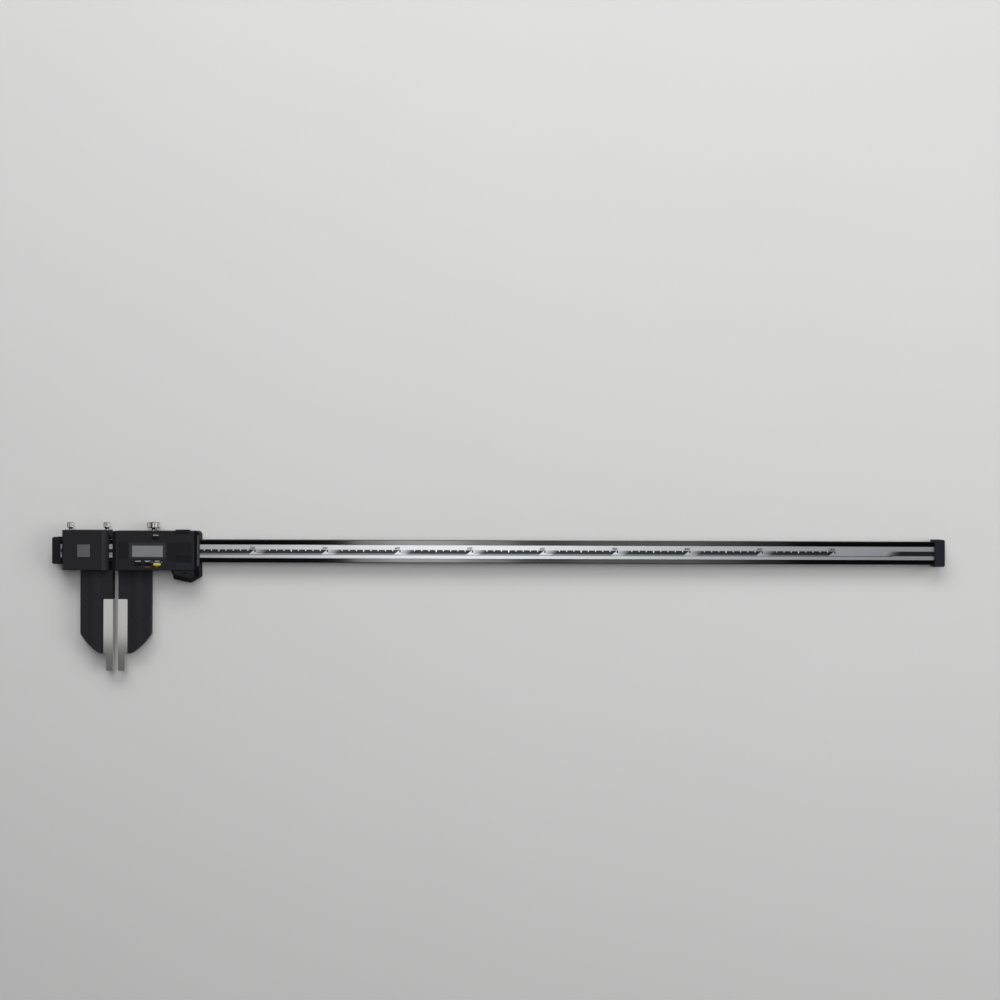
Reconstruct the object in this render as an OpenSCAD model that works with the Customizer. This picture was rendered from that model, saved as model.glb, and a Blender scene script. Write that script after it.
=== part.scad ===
// Long digital caliper with a hollow carbon-fibre beam, a clamped fixed jaw and a sliding jaw with a display.
// It lies on its back. X runs along the beam from the fixed jaw, Y points to the clamp screws and the jaws
// reach along -Y, and Z points out of the display. Inside the modules x = 0 is the measuring face of the
// fixed jaw (or, on the slider, its own measuring face), y = 0 is the middle of the beam and z = 0 the table.

/* [Beam] */
// Range that the scale reads
measuring_range = 1000; // [300:50:1500]
// Opening between the two measuring faces as the caliper lies
rest_opening = 7.1; // [6:0.1:40]
// Width of the beam
beam_w = 32; // [29:0.5:36]
// Thickness of the beam
beam_t = 14; // [13:0.5:16]
// Wall of the hollow beam
beam_wall = 3; // [2.6:0.2:3.6]
// Radius of the beam's long edges
beam_edge_r = 1.2; // [0.6:0.2:1.6]
// Height of the beam's back over the table
beam_lift = 7; // [6.5:0.25:9]
// Beam left free past the slider when it reads its full range
end_spare = 20.5; // [12:0.1:40]

/* [Scale] */
// Width of the graduated plate
scale_w = 18.2; // [16:0.2:20]
// Middle of the plate from the middle of the beam
scale_y = -0.35; // [-0.5:0.05:0.5]
// Thickness of the graduated plate
scale_t = 0.6; // [0.4:0.1:0.8]
// Thickness of the encoder strip under it
encoder_t = 0.8; // [0.6:0.1:1]
// Width of the encoder strip
encoder_w = 15; // [10:0.5:15]
// How far the plate stands over the beam's face
scale_proud = 0.2; // [0.1:0.05:0.3]

/* [End caps] */
// Length of the left cap
left_cap_len = 11; // [9:0.5:16]
// Length of the right cap
right_cap_len = 14; // [10:0.5:20]
// Cap wall beside the beam
cap_side = 2.7; // [2:0.1:4]
// Cap height over the beam's face
cap_front = 3.5; // [2.6:0.1:5]
// Wall across the end of the beam
cap_end = 4; // [3.4:0.2:5]
// Corner radius of a cap
cap_r = 3; // [1.5:0.25:4]
// Length of the ramp on the left cap
cap_ramp = 5.1; // [2:0.2:6]
// Free beam between the left cap and the fixed frame
cap_gap = 2.8; // [1:0.2:20]
// Length of the plug bonded inside each end
plug_len = 22; // [16:1:30]
// Length of a cap screw under its head
cap_screw_len = 16; // [10:1:20]

/* [Fixed unit] */
// Length of the clamped frame
fixed_len = 64.3; // [58:0.1:80]
// Distance from the frame's side back to the measuring face
fixed_setback = 5.3; // [4.5:0.1:7]
// Wall over the beam that holds the clamp screws
fixed_top_wall = 10.8; // [9:0.2:13]
// Height of the bevelled cover
fixed_cover_h = 7; // [5:0.25:9]
// Bevel at the cover's left side
cover_bevel_left = 3.5; // [1:0.25:6]
// Bevel at the cover's right side
cover_bevel_right = 6; // [1:0.25:8]
// Ledge at the foot of the cover, on the right
cover_inset = 2; // [0.5:0.1:3]
// Side of the square badge plate
badge_w = 17.2; // [12:0.1:22]
// Thickness of the badge plate
badge_t = 0.9; // [0.6:0.1:1.4]
// Depth of the recess that holds it
badge_recess = 0.6; // [0.3:0.1:0.9]

/* [Frames] */
// Wall under the beam that holds a jaw
bottom_wall = 10.7; // [9.5:0.25:13]
// Height of the frames over the beam's face
frame_front = 3; // [2.6:0.1:4]
// Thickness of a gib
gib_t = 1.5; // [1:0.1:2]
// Width of a gib
gib_w = 11; // [8:0.5:12]

/* [Jaws] */
// Reach of the jaws from the middle of the beam
jaw_reach = 142; // [125:1:200]
// Width of a jaw
jaw_w = 44.3; // [42:0.1:52]
// Thickness of a jaw
jaw_t = 14; // [13:0.5:15]
// Set-back of the jaw from its measuring face
jaw_setback = 0.5; // [0.2:0.1:1.5]
// Straight outer side, measured from the middle of the beam
jaw_straight = 114.5; // [90:0.5:130]
// Width of the flat tip beside the measuring face
jaw_tip = 18; // [16:0.5:24]
// Radius of the curved lower corner
jaw_arc_r = 84; // [50:1:120]
// Start of the raised rib from the measuring face
rib_start = 17.5; // [16:0.25:20]
// Width of the raised rib
rib_w = 16; // [12:0.5:20]
// Height of the raised rib
rib_h = 1.4; // [0.6:0.1:2]
// Depth of the tongue that locks a jaw in its frame
tongue_d = 6; // [5:0.25:7]
// Length of that tongue along the beam
tongue_len = 30; // [26:1:32]
// Thickness of that tongue
tongue_t = 7; // [5:0.5:8]

/* [Blades] */
// Width of a blade
blade_w = 13; // [11:0.25:14]
// Thickness of a blade
blade_t = 13; // [10:0.5:13]
// Top of a blade, measured from the middle of the beam
blade_top = 67; // [55:1:80]
// Radius of a blade's upper corner
blade_r = 1.5; // [0.5:0.25:3]
// Length of the nib under a blade
nib_len = 24; // [15:1:30]
// Width of a nib
nib_w = 10; // [7:0.5:10.5]
// Radius of a nib's outer face
nib_r = 30; // [10:1:40]
// Depth of the blade's tongue in its jaw
blade_tongue = 7; // [6:0.25:8]
// Thickness of the blade's tongue
blade_tongue_t = 5; // [4:0.25:6]

/* [Clamp screws] */
// Radius of the clamp screws' shanks
clamp_r = 2; // [1.6:0.1:2.2]
// Distance of each small clamp screw from its end of the frame
clamp_inset_left = 9.2; // [6:0.25:14]
// Distance of the right small clamp screw from the frame's right side
clamp_inset_right = 4.8; // [3.2:0.1:8]
// Head radius of the small clamp screws
small_head_r = 4.7; // [3.6:0.1:6]
// Head length of the small clamp screws
small_head_h = 7.8; // [5:0.2:10]
// Neck of the small clamp screws over the frame
small_neck = 2.9; // [2:0.1:5]
// Head radius of the slider's clamp screw
large_head_r = 9.1; // [7:0.1:11]
// Head length of the slider's clamp screw
large_head_h = 8; // [5:0.2:10]
// Neck of the slider's clamp screw over the frame
large_neck = 3.9; // [2:0.1:6]
// Distance of the slider's clamp screw from its measuring face
large_clamp_x = 47.3; // [30:0.5:60]
// Length of the brass pad under a clamp screw
pad_len = 2; // [1.5:0.1:3]
// Number of knurls round a small head
small_knurls = 20; // [14:1:28]
// Number of knurls round the large head
large_knurls = 36; // [24:1:48]

/* [Slider] */
// Slider frame in front of its measuring face
slider_lead = 1.2; // [0.6:0.1:2]
// Length of the slider frame
slider_len = 108.1; // [106:0.5:125]
// Wall over the beam that holds the slider's clamp screw
slider_top_wall = 9.9; // [9:0.1:12]
// Thickness of the back cover
back_cover_t = 1.6; // [1.2:0.1:2]
// Corner radius of the back cover
back_cover_r = 3; // [1:0.5:5]
// Gap left between wiper and fixed frame when the jaws meet
closed_gap = 0.2; // [0.1:0.05:1]
// Length of the end cover
end_cover_len = 5.9; // [5:0.1:10]
// Drop from the housing's front to the end cover's face
end_cover_drop = 8.5; // [1:0.25:8.5]
// Width of the rib along the end cover
end_rib_w = 2.9; // [2:0.1:4]
// Height of that rib over the end cover's face
end_rib_h = 1.8; // [0.8:0.1:4]
// Rib's stop short of the frame's top and bottom
end_rib_inset = 6; // [3:0.5:10]
// Radius of the end cover's upper corner
end_corner_r = 5.5; // [2:0.5:7]

/* [Display housing] */
// Height of the housing over the frame
housing_h = 10; // [9.5:0.25:13]
// Side wall of the housing
housing_wall = 2; // [1.6:0.1:2.6]
// Front wall of the housing
front_wall = 2; // [1.8:0.1:2.4]
// Chamfer round the housing's front
housing_chamfer = 1; // [0.4:0.1:1.6]
// Middle of the display from the slider's measuring face
display_x = 43.2; // [40:0.2:46]
// Middle of the display from the middle of the beam
display_y = -0.3; // [-1:0.1:1]
// Width of the display window
window_w = 42.1; // [36:0.5:44]
// Height of the display window
window_h = 15.4; // [12:0.2:16]
// Width of the bezel
bezel_w = 51.7; // [48:0.5:54]
// Height of the bezel
bezel_h = 22.8; // [20:0.2:23]
// Middle of the bezel over the middle of the window
bezel_dy = 0.7; // [0:0.1:1]
// Left end of the dark panel
panel_x0 = 3.5; // [2:0.25:8]
// Right end of the dark panel
panel_x1 = 103.2; // [96:0.5:104]
// Upper edge of the dark panel
panel_top = 11.8; // [11.4:0.1:13]
// Lower edge of the dark panel
panel_bottom = -11; // [-13:0.1:-10.9]
// Depth of the panel's recess
panel_recess = 0.5; // [0.3:0.05:0.7]

/* [Buttons] */
// Length of an oval button
button_w = 10.2; // [8:0.2:11]
// Height of an oval button
button_h = 3.6; // [3:0.1:5]
// Button height over the housing
button_proud = 0.8; // [0.3:0.1:1.5]
// Travel of a button
button_travel = 0.8; // [0.3:0.1:1]
// First lower button from the slider's measuring face
buttons_x = 30.5; // [26:0.5:32]
// Spacing of the lower buttons
button_pitch = 13; // [12.8:0.1:14]
// Lower buttons from the middle of the beam
buttons_y = -18; // [-19:0.2:-17]
// Upper button from the slider's measuring face
origin_x = 54.6; // [40:0.5:60]
// Upper button from the middle of the beam
origin_y = 17.7; // [17:0.1:19]

/* [Battery and data port] */
// Left edge of the battery lid
lid_x = 81.8; // [80:0.2:83]
// Width of the battery lid
lid_w = 21.6; // [18:0.2:22]
// Lower edge of the battery lid
lid_y = -25.6; // [-25.8:0.1:-25]
// Height of the battery lid along Y
lid_h = 19; // [16:0.2:19.4]
// Ramped part of the lid
lid_ramp = 9.2; // [4:0.2:12]
// Depth of the ramp's foot
lid_ramp_d = 1; // [0.4:0.1:1.2]
// Radius of the button cell
cell_r = 5.8; // [5:0.1:6.5]
// Thickness of the button cell
cell_t = 5.4; // [3:0.2:5.6]
// Left edge of the data port cover
port_x = 81.1; // [80.4:0.1:84]
// Width of the data port cover
port_w = 19.2; // [16:0.2:20]
// Reach of the data port cover into the housing
port_d = 3.9; // [3:0.1:5]
// Height of the data port cover over the top side
port_proud = 1.8; // [0.6:0.1:3]

/* [Thumb rest] */
// Left end of the thumb rest from the slider's measuring face
rest_x0 = 72.7; // [66:0.5:76]
// Lowest point of the thumb rest along the beam
rest_tip_x = 99.4; // [92:0.5:102]
// Lowest point of the thumb rest from the middle of the beam
rest_tip_y = 44.1; // [42:0.2:50]
// Width of its sloping finger face
rest_slope = 7; // [3:0.2:8]
// Height at which the sloping face starts
rest_edge_z = 20; // [12:0.5:24]
// Ridges on its left slope
rest_ridges = 11; // [6:1:14]
// Depth of the grooves between the ridges
rest_groove = 0.8; // [0.3:0.05:0.9]

/* [Hidden] */
$fn = 48;

// Clearances shared by pieces that seat in, slide in or turn in each other
cut = 1;
seat_clear = 0.1;
slide_clear = 0.1;
turn_clear = 0.05;
lid_clear = 0.15;

// Levels of the beam and of the units round it
beam_y = beam_w / 2;
beam_z0 = beam_lift;
beam_z1 = beam_lift + beam_t;
mid_z = beam_lift + beam_t / 2;
recess_d = scale_t + encoder_t - scale_proud;
face_z = beam_z1 + scale_proud;
frame_z = beam_z1 + frame_front;
gib_y0 = beam_y + slide_clear;
gib_y1 = gib_y0 + gib_t;
channel_y = gib_y1 + slide_clear;
fixed_top = channel_y + fixed_top_wall;
slider_top = channel_y + slider_top_wall;
bottom_y = beam_y + slide_clear + bottom_wall;
cover_z = frame_z + fixed_cover_h;
housing_z = frame_z + housing_h;
inner_z = housing_z - front_wall;

// Stations along the beam
fixed_x1 = -fixed_setback;
fixed_x0 = fixed_x1 - fixed_len;
cover_x1 = fixed_x1 - cover_inset;
badge_x = (fixed_x0 + cover_x1) / 2;
lip_t = 1.6;
lip_gap = 0.3;
cap_left_x1 = fixed_x0 - cap_gap;
cap_left_x0 = cap_left_x1 - left_cap_len;
slider_x0 = -slider_lead;
slider_x1 = slider_x0 + slider_len;
end_x1 = slider_x1 + end_cover_len;
rest_x1 = end_x1;
cap_right_x0 = measuring_range + rest_x1 + end_spare;
cap_right_x1 = cap_right_x0 + right_cap_len;
beam_x0 = cap_left_x0 + cap_end;
beam_x1 = cap_right_x1 - cap_end;
nib_end = jaw_reach + nib_len;
large_head_top = slider_top + large_neck + large_head_h;
boss_h = 0.5;

// The origin lies under the middle of the whole caliper
place_x = (cap_left_x0 + cap_right_x1) / 2;
place_y = (large_head_top + boss_h - nib_end) / 2;

// Screws
cap_screw_r = 1.25;
cap_head_r = 2.6;
cap_head_h = 2;
jaw_screw_r = 1.5;
jaw_head_r = 2.7;
jaw_head_h = 2.5;
blade_screw_r = 1.25;
blade_head_r = 2.2;
blade_head_h = 1.8;
cover_screw_r = 1.25;
cover_head_r = 2.3;
cover_head_h = 2.2;
small_screw_r = 1;
small_screw_head_r = 1.9;
small_screw_head_h = 1.2;
rest_head_r = 1.6;
head_sink = 0.3;

// Places of the screws that hold the fixed cover, in the frame's two walls
fixed_wall_y = channel_y + fixed_top_wall / 2;
lower_wall_y = -beam_y - slide_clear - bottom_wall / 2;
fixed_cover_screw_places = [
    [fixed_x0 + fixed_len * 0.34, fixed_wall_y], [fixed_x0 + fixed_len * 0.72, fixed_wall_y],
    [fixed_x0 + 6, lower_wall_y], [fixed_x0 + 20, lower_wall_y]
];
fixed_clamp_left_x = fixed_x0 + clamp_inset_left;
fixed_clamp_right_x = fixed_x1 - clamp_inset_right;

// Jaw tongue and its two screws, measured from the measuring face
tongue_u0 = 8;
tongue_screw_us = [tongue_u0 + 6, tongue_u0 + tongue_len - 6];
tongue_screw_y = -bottom_y + tongue_d / 2;

// Blade tongue and its two screws
blade_tongue_y0 = -jaw_reach + 6;
blade_tongue_y1 = -blade_top - 6;
blade_screw_u = blade_w + blade_tongue - 3;
blade_screw_ys = [blade_tongue_y0 + 7, blade_tongue_y1 - 7];

// The raised rib is the crown of a cylinder
rib_u = rib_start + rib_w / 2;
rib_r = (rib_w * rib_w / 4 + rib_h * rib_h) / (2 * rib_h);

// Centre of the arc through the end of the straight side and the end of the flat tip
arc_a = [jaw_setback + jaw_w, -jaw_straight];
arc_b = [jaw_tip, -jaw_reach];
arc_mid = (arc_a + arc_b) / 2;
arc_half = norm(arc_a - arc_b) / 2;
arc_in = [arc_b[1] - arc_a[1], arc_a[0] - arc_b[0]] / (2 * arc_half);
arc_c = arc_mid + arc_in * sqrt(jaw_arc_r * jaw_arc_r - arc_half * arc_half);

// Slider: screws, cavities and places of the inner pieces
slider_wall_y = channel_y + slider_top_wall / 2;
bay_x1 = lid_x - 2.2;
boss_r = 3.6;
housing_screw_places = [
    [slider_x0 + 6.2, slider_wall_y], [bay_x1 - 5.4, slider_wall_y],
    [slider_x0 + 4.6, lower_wall_y], [slider_x1 - 3.2, lower_wall_y]
];
back_screw_places = [for (x = [slider_x0 + 9, slider_x1 - 7], y = [-beam_y + 6, beam_y - 6]) [x, y]];
gib_screw_xs = [slider_x0 + 26, slider_x1 - 12];
end_screw_ys = [-4, 4];
end_screw_z = (back_cover_t + beam_z0 - slide_clear) / 2;
board_t = 1.6;
board_z1 = inner_z - 3.4;
board_z0 = board_z1 - board_t;
board_x0 = slider_x0 + housing_wall + 0.6;
board_x1 = bay_x1 - 0.6;
post_r = 1.8;
post_x0 = display_x - bezel_w / 2 - 6;
post_x1 = display_x + bezel_w / 2 + 4.4;
post_places = [for (x = [post_x0, post_x1], y = [-8, 8]) [x, y]];
readhead_w = 46;
readhead_h = 16;
readhead_gap = 0.4;
switch_w = 6;
switch_t = 1.2;
window_t = 0.9;
window_ledge = 0.5;
bezel_z0 = housing_z - 1;
panel_t = 0.4;
flange = 0.8;
flange_t = 0.9;
wiper_t = 3;
wiper_rim = 2;
wiper_back = 1;
wiper_gap = 0.2;
wiper_inset = 0.6;
lower_buttons = [for (i = [0:2]) [buttons_x + i * button_pitch, buttons_y]];
button_places = concat([[origin_x, origin_y]], lower_buttons);
lid_t = 1.9;
lid_proud = 0.2;
lid_seat_z = housing_z + lid_proud - lid_t - 0.05;
cell_x = lid_x + lid_w / 2;
cell_y = lid_y + lid_h / 2;
contact_t = 0.5;
cell_z0 = lid_seat_z - 0.6 - cell_t;
port_in_x = port_x + 3;
port_in_w = port_w - 6;
port_in_y = slider_top - port_d - 8;

// Thumb rest: corners of its outline at the table
rest_y = -bottom_y;
rest_left = [rest_x0 + 4.1, rest_y - 12.1];
rest_tip = [rest_tip_x, -rest_tip_y];
rest_right = [rest_x1, rest_y - 9.3];
rest_screw_x = rest_tip_x - 5.3;
rest_screw_y = rest_y - 3;
lug_w = 12;
lug_d = 6;
lug_z1 = 10;

// Colours
carbon = [0.05, 0.05, 0.055];
coated = [0.16, 0.16, 0.17];
moulded = [0.13, 0.13, 0.14];
dark_panel = [0.08, 0.08, 0.09];
steel = [0.72, 0.71, 0.7];
brass = [0.78, 0.62, 0.3];
silver = [0.75, 0.77, 0.78];

// Placing: everything fixed to the beam, and everything that rides on the slider
module place() {
    translate([-place_x, -place_y, 0]) children();
}

module place_slider() {
    translate([rest_opening - place_x, -place_y, 0]) children();
}

// A fixed-side jaw piece is the mirror image of the slider's
module place_fixed_jaw() {
    place() mirror([1, 0, 0]) children();
}

// Basic shapes between stated planes
module box(x0, x1, y0, y1, z0, z1) {
    translate([x0, y0, z0]) cube([x1 - x0, y1 - y0, z1 - z0]);
}

module rod_x(y, z, x0, x1, r) {
    translate([x0, y, z]) rotate([0, 90, 0]) cylinder(h = x1 - x0, r = r);
}

module rod_y(x, z, y0, y1, r) {
    translate([x, y0, z]) rotate([-90, 0, 0]) cylinder(h = y1 - y0, r = r);
}

module rod_z(x, y, z0, z1, r) {
    translate([x, y, z0]) cylinder(h = z1 - z0, r = r);
}

// Section in Y and Z, drawn along X
module along_x(x0, x1) {
    translate([x0, 0, 0]) rotate([90, 0, 90]) linear_extrude(x1 - x0) children();
}

// Section in X and Z, drawn along Y
module along_y(y0, y1) {
    translate([0, y1, 0]) rotate([90, 0, 0]) linear_extrude(y1 - y0) children();
}

module round_rect(x0, x1, y0, y1, r) {
    translate([x0 + r, y0]) square([x1 - x0 - 2 * r, y1 - y0]);
    translate([x0, y0 + r]) square([x1 - x0, y1 - y0 - 2 * r]);
    for (x = [x0 + r, x1 - r], y = [y0 + r, y1 - r]) translate([x, y]) circle(r);
}

// Block with a chamfer round its front face
module front_chamfered(x0, x1, y0, y1, z0, z1, c) {
    intersection() {
        along_x(x0, x1)
            polygon([[y0, z0], [y1, z0], [y1, z1 - c], [y1 - c, z1], [y0 + c, z1], [y0, z1 - c]]);
        along_y(y0, y1)
            polygon([[x0, z0], [x1, z0], [x1, z1 - c], [x1 - c, z1], [x0 + c, z1], [x0, z1 - c]]);
    }
}

// Screw pointing along +Z with a socket in its head
module screw_z(x, y, z0, head_r, head_h, shank_r, shank_len) {
    difference() {
        union() {
            rod_z(x, y, z0, z0 + head_h, head_r);
            rod_z(x, y, z0 + head_h, z0 + head_h + shank_len, shank_r);
        }
        translate([x, y, z0 - cut]) cylinder(h = cut + head_h * 0.6, r = shank_r * 0.85, $fn = 6);
    }
}

// Hole for that screw, with its counterbore opening towards the table
module screw_hole_z(x, y, z0, head_r, head_h, shank_r, shank_len) {
    rod_z(x, y, z0 - 2 * cut, z0 + head_h, head_r + seat_clear);
    rod_z(x, y, z0, z0 + head_h + shank_len + 0.4, shank_r + seat_clear);
}

// Beam with the recess for its scale
module beam() {
    place() color(carbon) difference() {
        along_x(beam_x0, beam_x1) round_rect(-beam_y, beam_y, beam_z0, beam_z1, beam_edge_r);
        along_x(beam_x0 - cut, beam_x1 + cut)
            round_rect(-beam_y + beam_wall, beam_y - beam_wall, beam_z0 + beam_wall, beam_z1 - beam_wall, 0.8);
        box(cap_left_x1, cap_right_x0, scale_y - scale_w / 2 - seat_clear, scale_y + scale_w / 2 + seat_clear,
            beam_z1 - recess_d, beam_z1 + cut);
    }
}

module scale_plate() {
    place() color(silver) box(cap_left_x1 + seat_clear, cap_right_x0 - seat_clear, scale_y - scale_w / 2,
        scale_y + scale_w / 2, beam_z1 - recess_d + encoder_t, face_z);
}

module encoder_strip() {
    place() color(brass) box(cap_left_x1 + seat_clear, cap_right_x0 - seat_clear, scale_y - encoder_w / 2,
        scale_y + encoder_w / 2, beam_z1 - recess_d, beam_z1 - recess_d + encoder_t);
}

// Plug that takes the cap's screw, bonded in the hollow beam
module end_plug(x0) {
    difference() {
        box(x0, x0 + plug_len, -beam_y + beam_wall + seat_clear, beam_y - beam_wall - seat_clear,
            beam_z0 + beam_wall, beam_z1 - beam_wall);
        for (y = [-1, 1], z = [beam_z0 + beam_wall, beam_z1 - beam_wall])
            translate([x0 - cut, y * (beam_y - beam_wall), z]) rotate([45, 0, 0])
                translate([0, -0.8, -0.8]) cube([plug_len + 2 * cut, 1.6, 1.6]);
        rod_x(0, mid_z, x0 - cut, x0 + plug_len + cut, cap_screw_r + turn_clear);
    }
}

module end_plug_left() {
    place() color(silver) end_plug(beam_x0);
}

module end_plug_right() {
    place() color(silver) end_plug(beam_x1 - plug_len);
}

// Moulded cap: its outer end is at x = 0 and its open end at x = len. The ramp lowers the open end
module end_cap(len, ramp, ramp_drop) {
    cap_y = beam_y + cap_side;
    cap_z = beam_z1 + cap_front;
    chamfer = 0.8;
    difference() {
        intersection() {
            linear_extrude(cap_z) union() {
                translate([cap_r, -cap_y]) square([len - cap_r, 2 * cap_y]);
                translate([0, -cap_y + cap_r]) square([cap_r + cut, 2 * (cap_y - cap_r)]);
                for (y = [-1, 1]) translate([cap_r, y * (cap_y - cap_r)]) circle(cap_r);
            }
            along_x(-cut, len + cut) polygon([[-cap_y - cut, -cut], [cap_y + cut, -cut],
                [cap_y + cut, cap_z - chamfer - cut], [cap_y - chamfer, cap_z], [-cap_y + chamfer, cap_z],
                [-cap_y - cut, cap_z - chamfer - cut]]);
            along_y(-cap_y - cut, cap_y + cut) polygon([[-cut, -cut], [len, -cut], [len, cap_z - ramp_drop],
                [len - ramp, cap_z], [chamfer, cap_z], [-cut, cap_z - chamfer - cut]]);
        }
        along_x(cap_end, len + cut) round_rect(-beam_y - seat_clear, beam_y + seat_clear,
            beam_z0 - seat_clear, beam_z1 + seat_clear, beam_edge_r);
        rod_x(0, mid_z, -cut, cap_end + cut, cap_screw_r + seat_clear);
        rod_x(0, mid_z, -cut, cap_head_h + head_sink, cap_head_r + seat_clear);
    }
}

module end_cap_left() {
    place() color(moulded) translate([cap_left_x0, 0, 0]) end_cap(left_cap_len, cap_ramp, cap_front * 0.6);
}

module end_cap_right() {
    place() color(moulded) translate([cap_right_x1, 0, 0]) mirror([1, 0, 0])
        end_cap(right_cap_len, cap_front * 0.2, cap_front * 0.2);
}

module end_cap_screw() {
    difference() {
        union() {
            rod_x(0, mid_z, head_sink, head_sink + cap_head_h, cap_head_r);
            rod_x(0, mid_z, head_sink + cap_head_h, head_sink + cap_head_h + cap_screw_len, cap_screw_r);
        }
        translate([head_sink - cut, 0, mid_z]) rotate([0, 90, 0])
            cylinder(h = cut + cap_head_h * 0.6, r = cap_screw_r * 0.9, $fn = 6);
    }
}

module end_cap_screws() {
    place() color(steel) {
        translate([cap_left_x0, 0, 0]) end_cap_screw();
        translate([cap_right_x1, 0, 0]) mirror([1, 0, 0]) end_cap_screw();
    }
}

// Channel for the beam and its gib, open to the front
module beam_channel(x0, x1) {
    box(x0 - cut, x1 + cut, -beam_y - slide_clear, channel_y, beam_z0 - slide_clear, frame_z + cut);
}

// Slot for a jaw's tongue and the holes for its two screws, measured from the measuring face
module jaw_slot(back_z) {
    box(tongue_u0 - seat_clear, tongue_u0 + tongue_len + seat_clear, -bottom_y - cut,
        -bottom_y + tongue_d + seat_clear, mid_z - tongue_t / 2 - seat_clear, mid_z + tongue_t / 2 + seat_clear);
    for (u = tongue_screw_us)
        screw_hole_z(u, tongue_screw_y, back_z + head_sink, jaw_head_r, jaw_head_h, jaw_screw_r,
            mid_z + tongue_t / 2 - back_z);
}

module fixed_frame() {
    place() color(coated) difference() {
        box(fixed_x0, fixed_x1, -bottom_y, fixed_top, 0, frame_z);
        beam_channel(fixed_x0, fixed_x1);
        for (x = [fixed_clamp_left_x, fixed_clamp_right_x])
            rod_y(x, mid_z, channel_y - cut, fixed_top + cut, clamp_r + turn_clear);
        for (p = fixed_cover_screw_places)
            screw_hole_z(p[0], p[1], head_sink, cover_head_r, cover_head_h, cover_screw_r, frame_z);
        mirror([1, 0, 0]) jaw_slot(0);
    }
}

// Bevelled cover with a ledge along its right foot and a lip that closes the frame's channel over the beam.
// It has blind holes for its screws and a recess for the badge
module fixed_cover() {
    edge = 0.8;
    ledge_h = 0.8;
    place() color(coated) difference() {
        union() {
            intersection() {
                along_y(-bottom_y, fixed_top) polygon([[fixed_x0, frame_z], [fixed_x1, frame_z],
                    [fixed_x1, frame_z + ledge_h], [cover_x1, frame_z + ledge_h],
                    [cover_x1 - cover_bevel_right, cover_z], [fixed_x0 + cover_bevel_left, cover_z]]);
                along_x(fixed_x0, fixed_x1) polygon([[-bottom_y, frame_z], [fixed_top, frame_z],
                    [fixed_top, cover_z - edge], [fixed_top - edge, cover_z], [-bottom_y + edge, cover_z],
                    [-bottom_y, cover_z - edge]]);
            }
            box(fixed_x1 - lip_t, fixed_x1, -beam_y - slide_clear + seat_clear, channel_y - seat_clear,
                face_z + lip_gap, frame_z + ledge_h / 2);
        }
        box(badge_x - badge_w / 2 - seat_clear, badge_x + badge_w / 2 + seat_clear,
            -badge_w / 2 - seat_clear, badge_w / 2 + seat_clear, cover_z - badge_recess, cover_z + cut);
        for (p = fixed_cover_screw_places) rod_z(p[0], p[1], frame_z - cut, frame_z + 4, cover_screw_r + turn_clear);
    }
}

module fixed_cover_screws() {
    place() color(steel) for (p = fixed_cover_screw_places)
        screw_z(p[0], p[1], head_sink, cover_head_r, cover_head_h, cover_screw_r,
            frame_z + 3.6 - head_sink - cover_head_h);
}

// Bare square plate with a turned-up border
module badge_plate() {
    border = 1.2;
    z0 = cover_z - badge_recess;
    place() color(silver) translate([badge_x, 0, 0]) difference() {
        front_chamfered(-badge_w / 2, badge_w / 2, -badge_w / 2, badge_w / 2, z0, z0 + badge_t, 0.2);
        box(-badge_w / 2 + border, badge_w / 2 - border, -badge_w / 2 + border, badge_w / 2 - border,
            z0 + badge_t - 0.25, z0 + badge_t + cut);
    }
}

module gib(x0, x1) {
    box(x0, x1, gib_y0, gib_y1, mid_z - gib_w / 2, mid_z + gib_w / 2);
}

module fixed_gib() {
    place() color(brass) gib(fixed_x0 + 1, fixed_x1 - 5);
}

// Brass pad between a clamp screw and the gib
module clamp_pad(x) {
    color(brass) rod_y(x, mid_z, gib_y1 + turn_clear, gib_y1 + pad_len, clamp_r - turn_clear);
}

// Points of a straight knurl: one tooth takes two points on the crest and two in the root
function knurl(n, r, depth) = [
    for (i = [0:n - 1], k = [0:3])
        let (a = (i + [0.1, 0.4, 0.6, 0.9][k]) * 360 / n, q = (k == 0 || k == 1) ? r : r - depth)
            [q * cos(a), q * sin(a)]
];

// Clamp screw: shank from the pad, tapered neck, knurled head with bevelled rims
module clamp_screw(x, top, neck, head_r, head_h, knurls, boss) {
    head_y = top + neck;
    rim = head_h * 0.12;
    color(steel) {
        rod_y(x, mid_z, gib_y1 + pad_len + turn_clear, top + neck / 2, clamp_r);
        translate([x, top + 1.2, mid_z]) rotate([-90, 0, 0]) cylinder(h = neck - 1.2, r1 = clamp_r, r2 = clamp_r * 1.5);
        translate([x, head_y, mid_z]) rotate([-90, 0, 0]) intersection() {
            linear_extrude(head_h) polygon(knurl(knurls, head_r, head_r * 0.05));
            rotate_extrude() polygon([[0, 0], [head_r - rim, 0], [head_r, rim], [head_r, head_h - rim],
                [head_r - rim, head_h], [0, head_h]]);
        }
        if (boss > 0) rod_y(x, mid_z, head_y + head_h - cut, head_y + head_h + boss, clamp_r * 1.3);
    }
}

module fixed_clamp_pad_left() {
    place() clamp_pad(fixed_clamp_left_x);
}

module fixed_clamp_pad_right() {
    place() clamp_pad(fixed_clamp_right_x);
}

module fixed_clamp_screw_left() {
    place() clamp_screw(fixed_clamp_left_x, fixed_top, small_neck, small_head_r, small_head_h, small_knurls, 0);
}

module fixed_clamp_screw_right() {
    place() clamp_screw(fixed_clamp_right_x, fixed_top, small_neck, small_head_r, small_head_h, small_knurls, 0);
}

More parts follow.
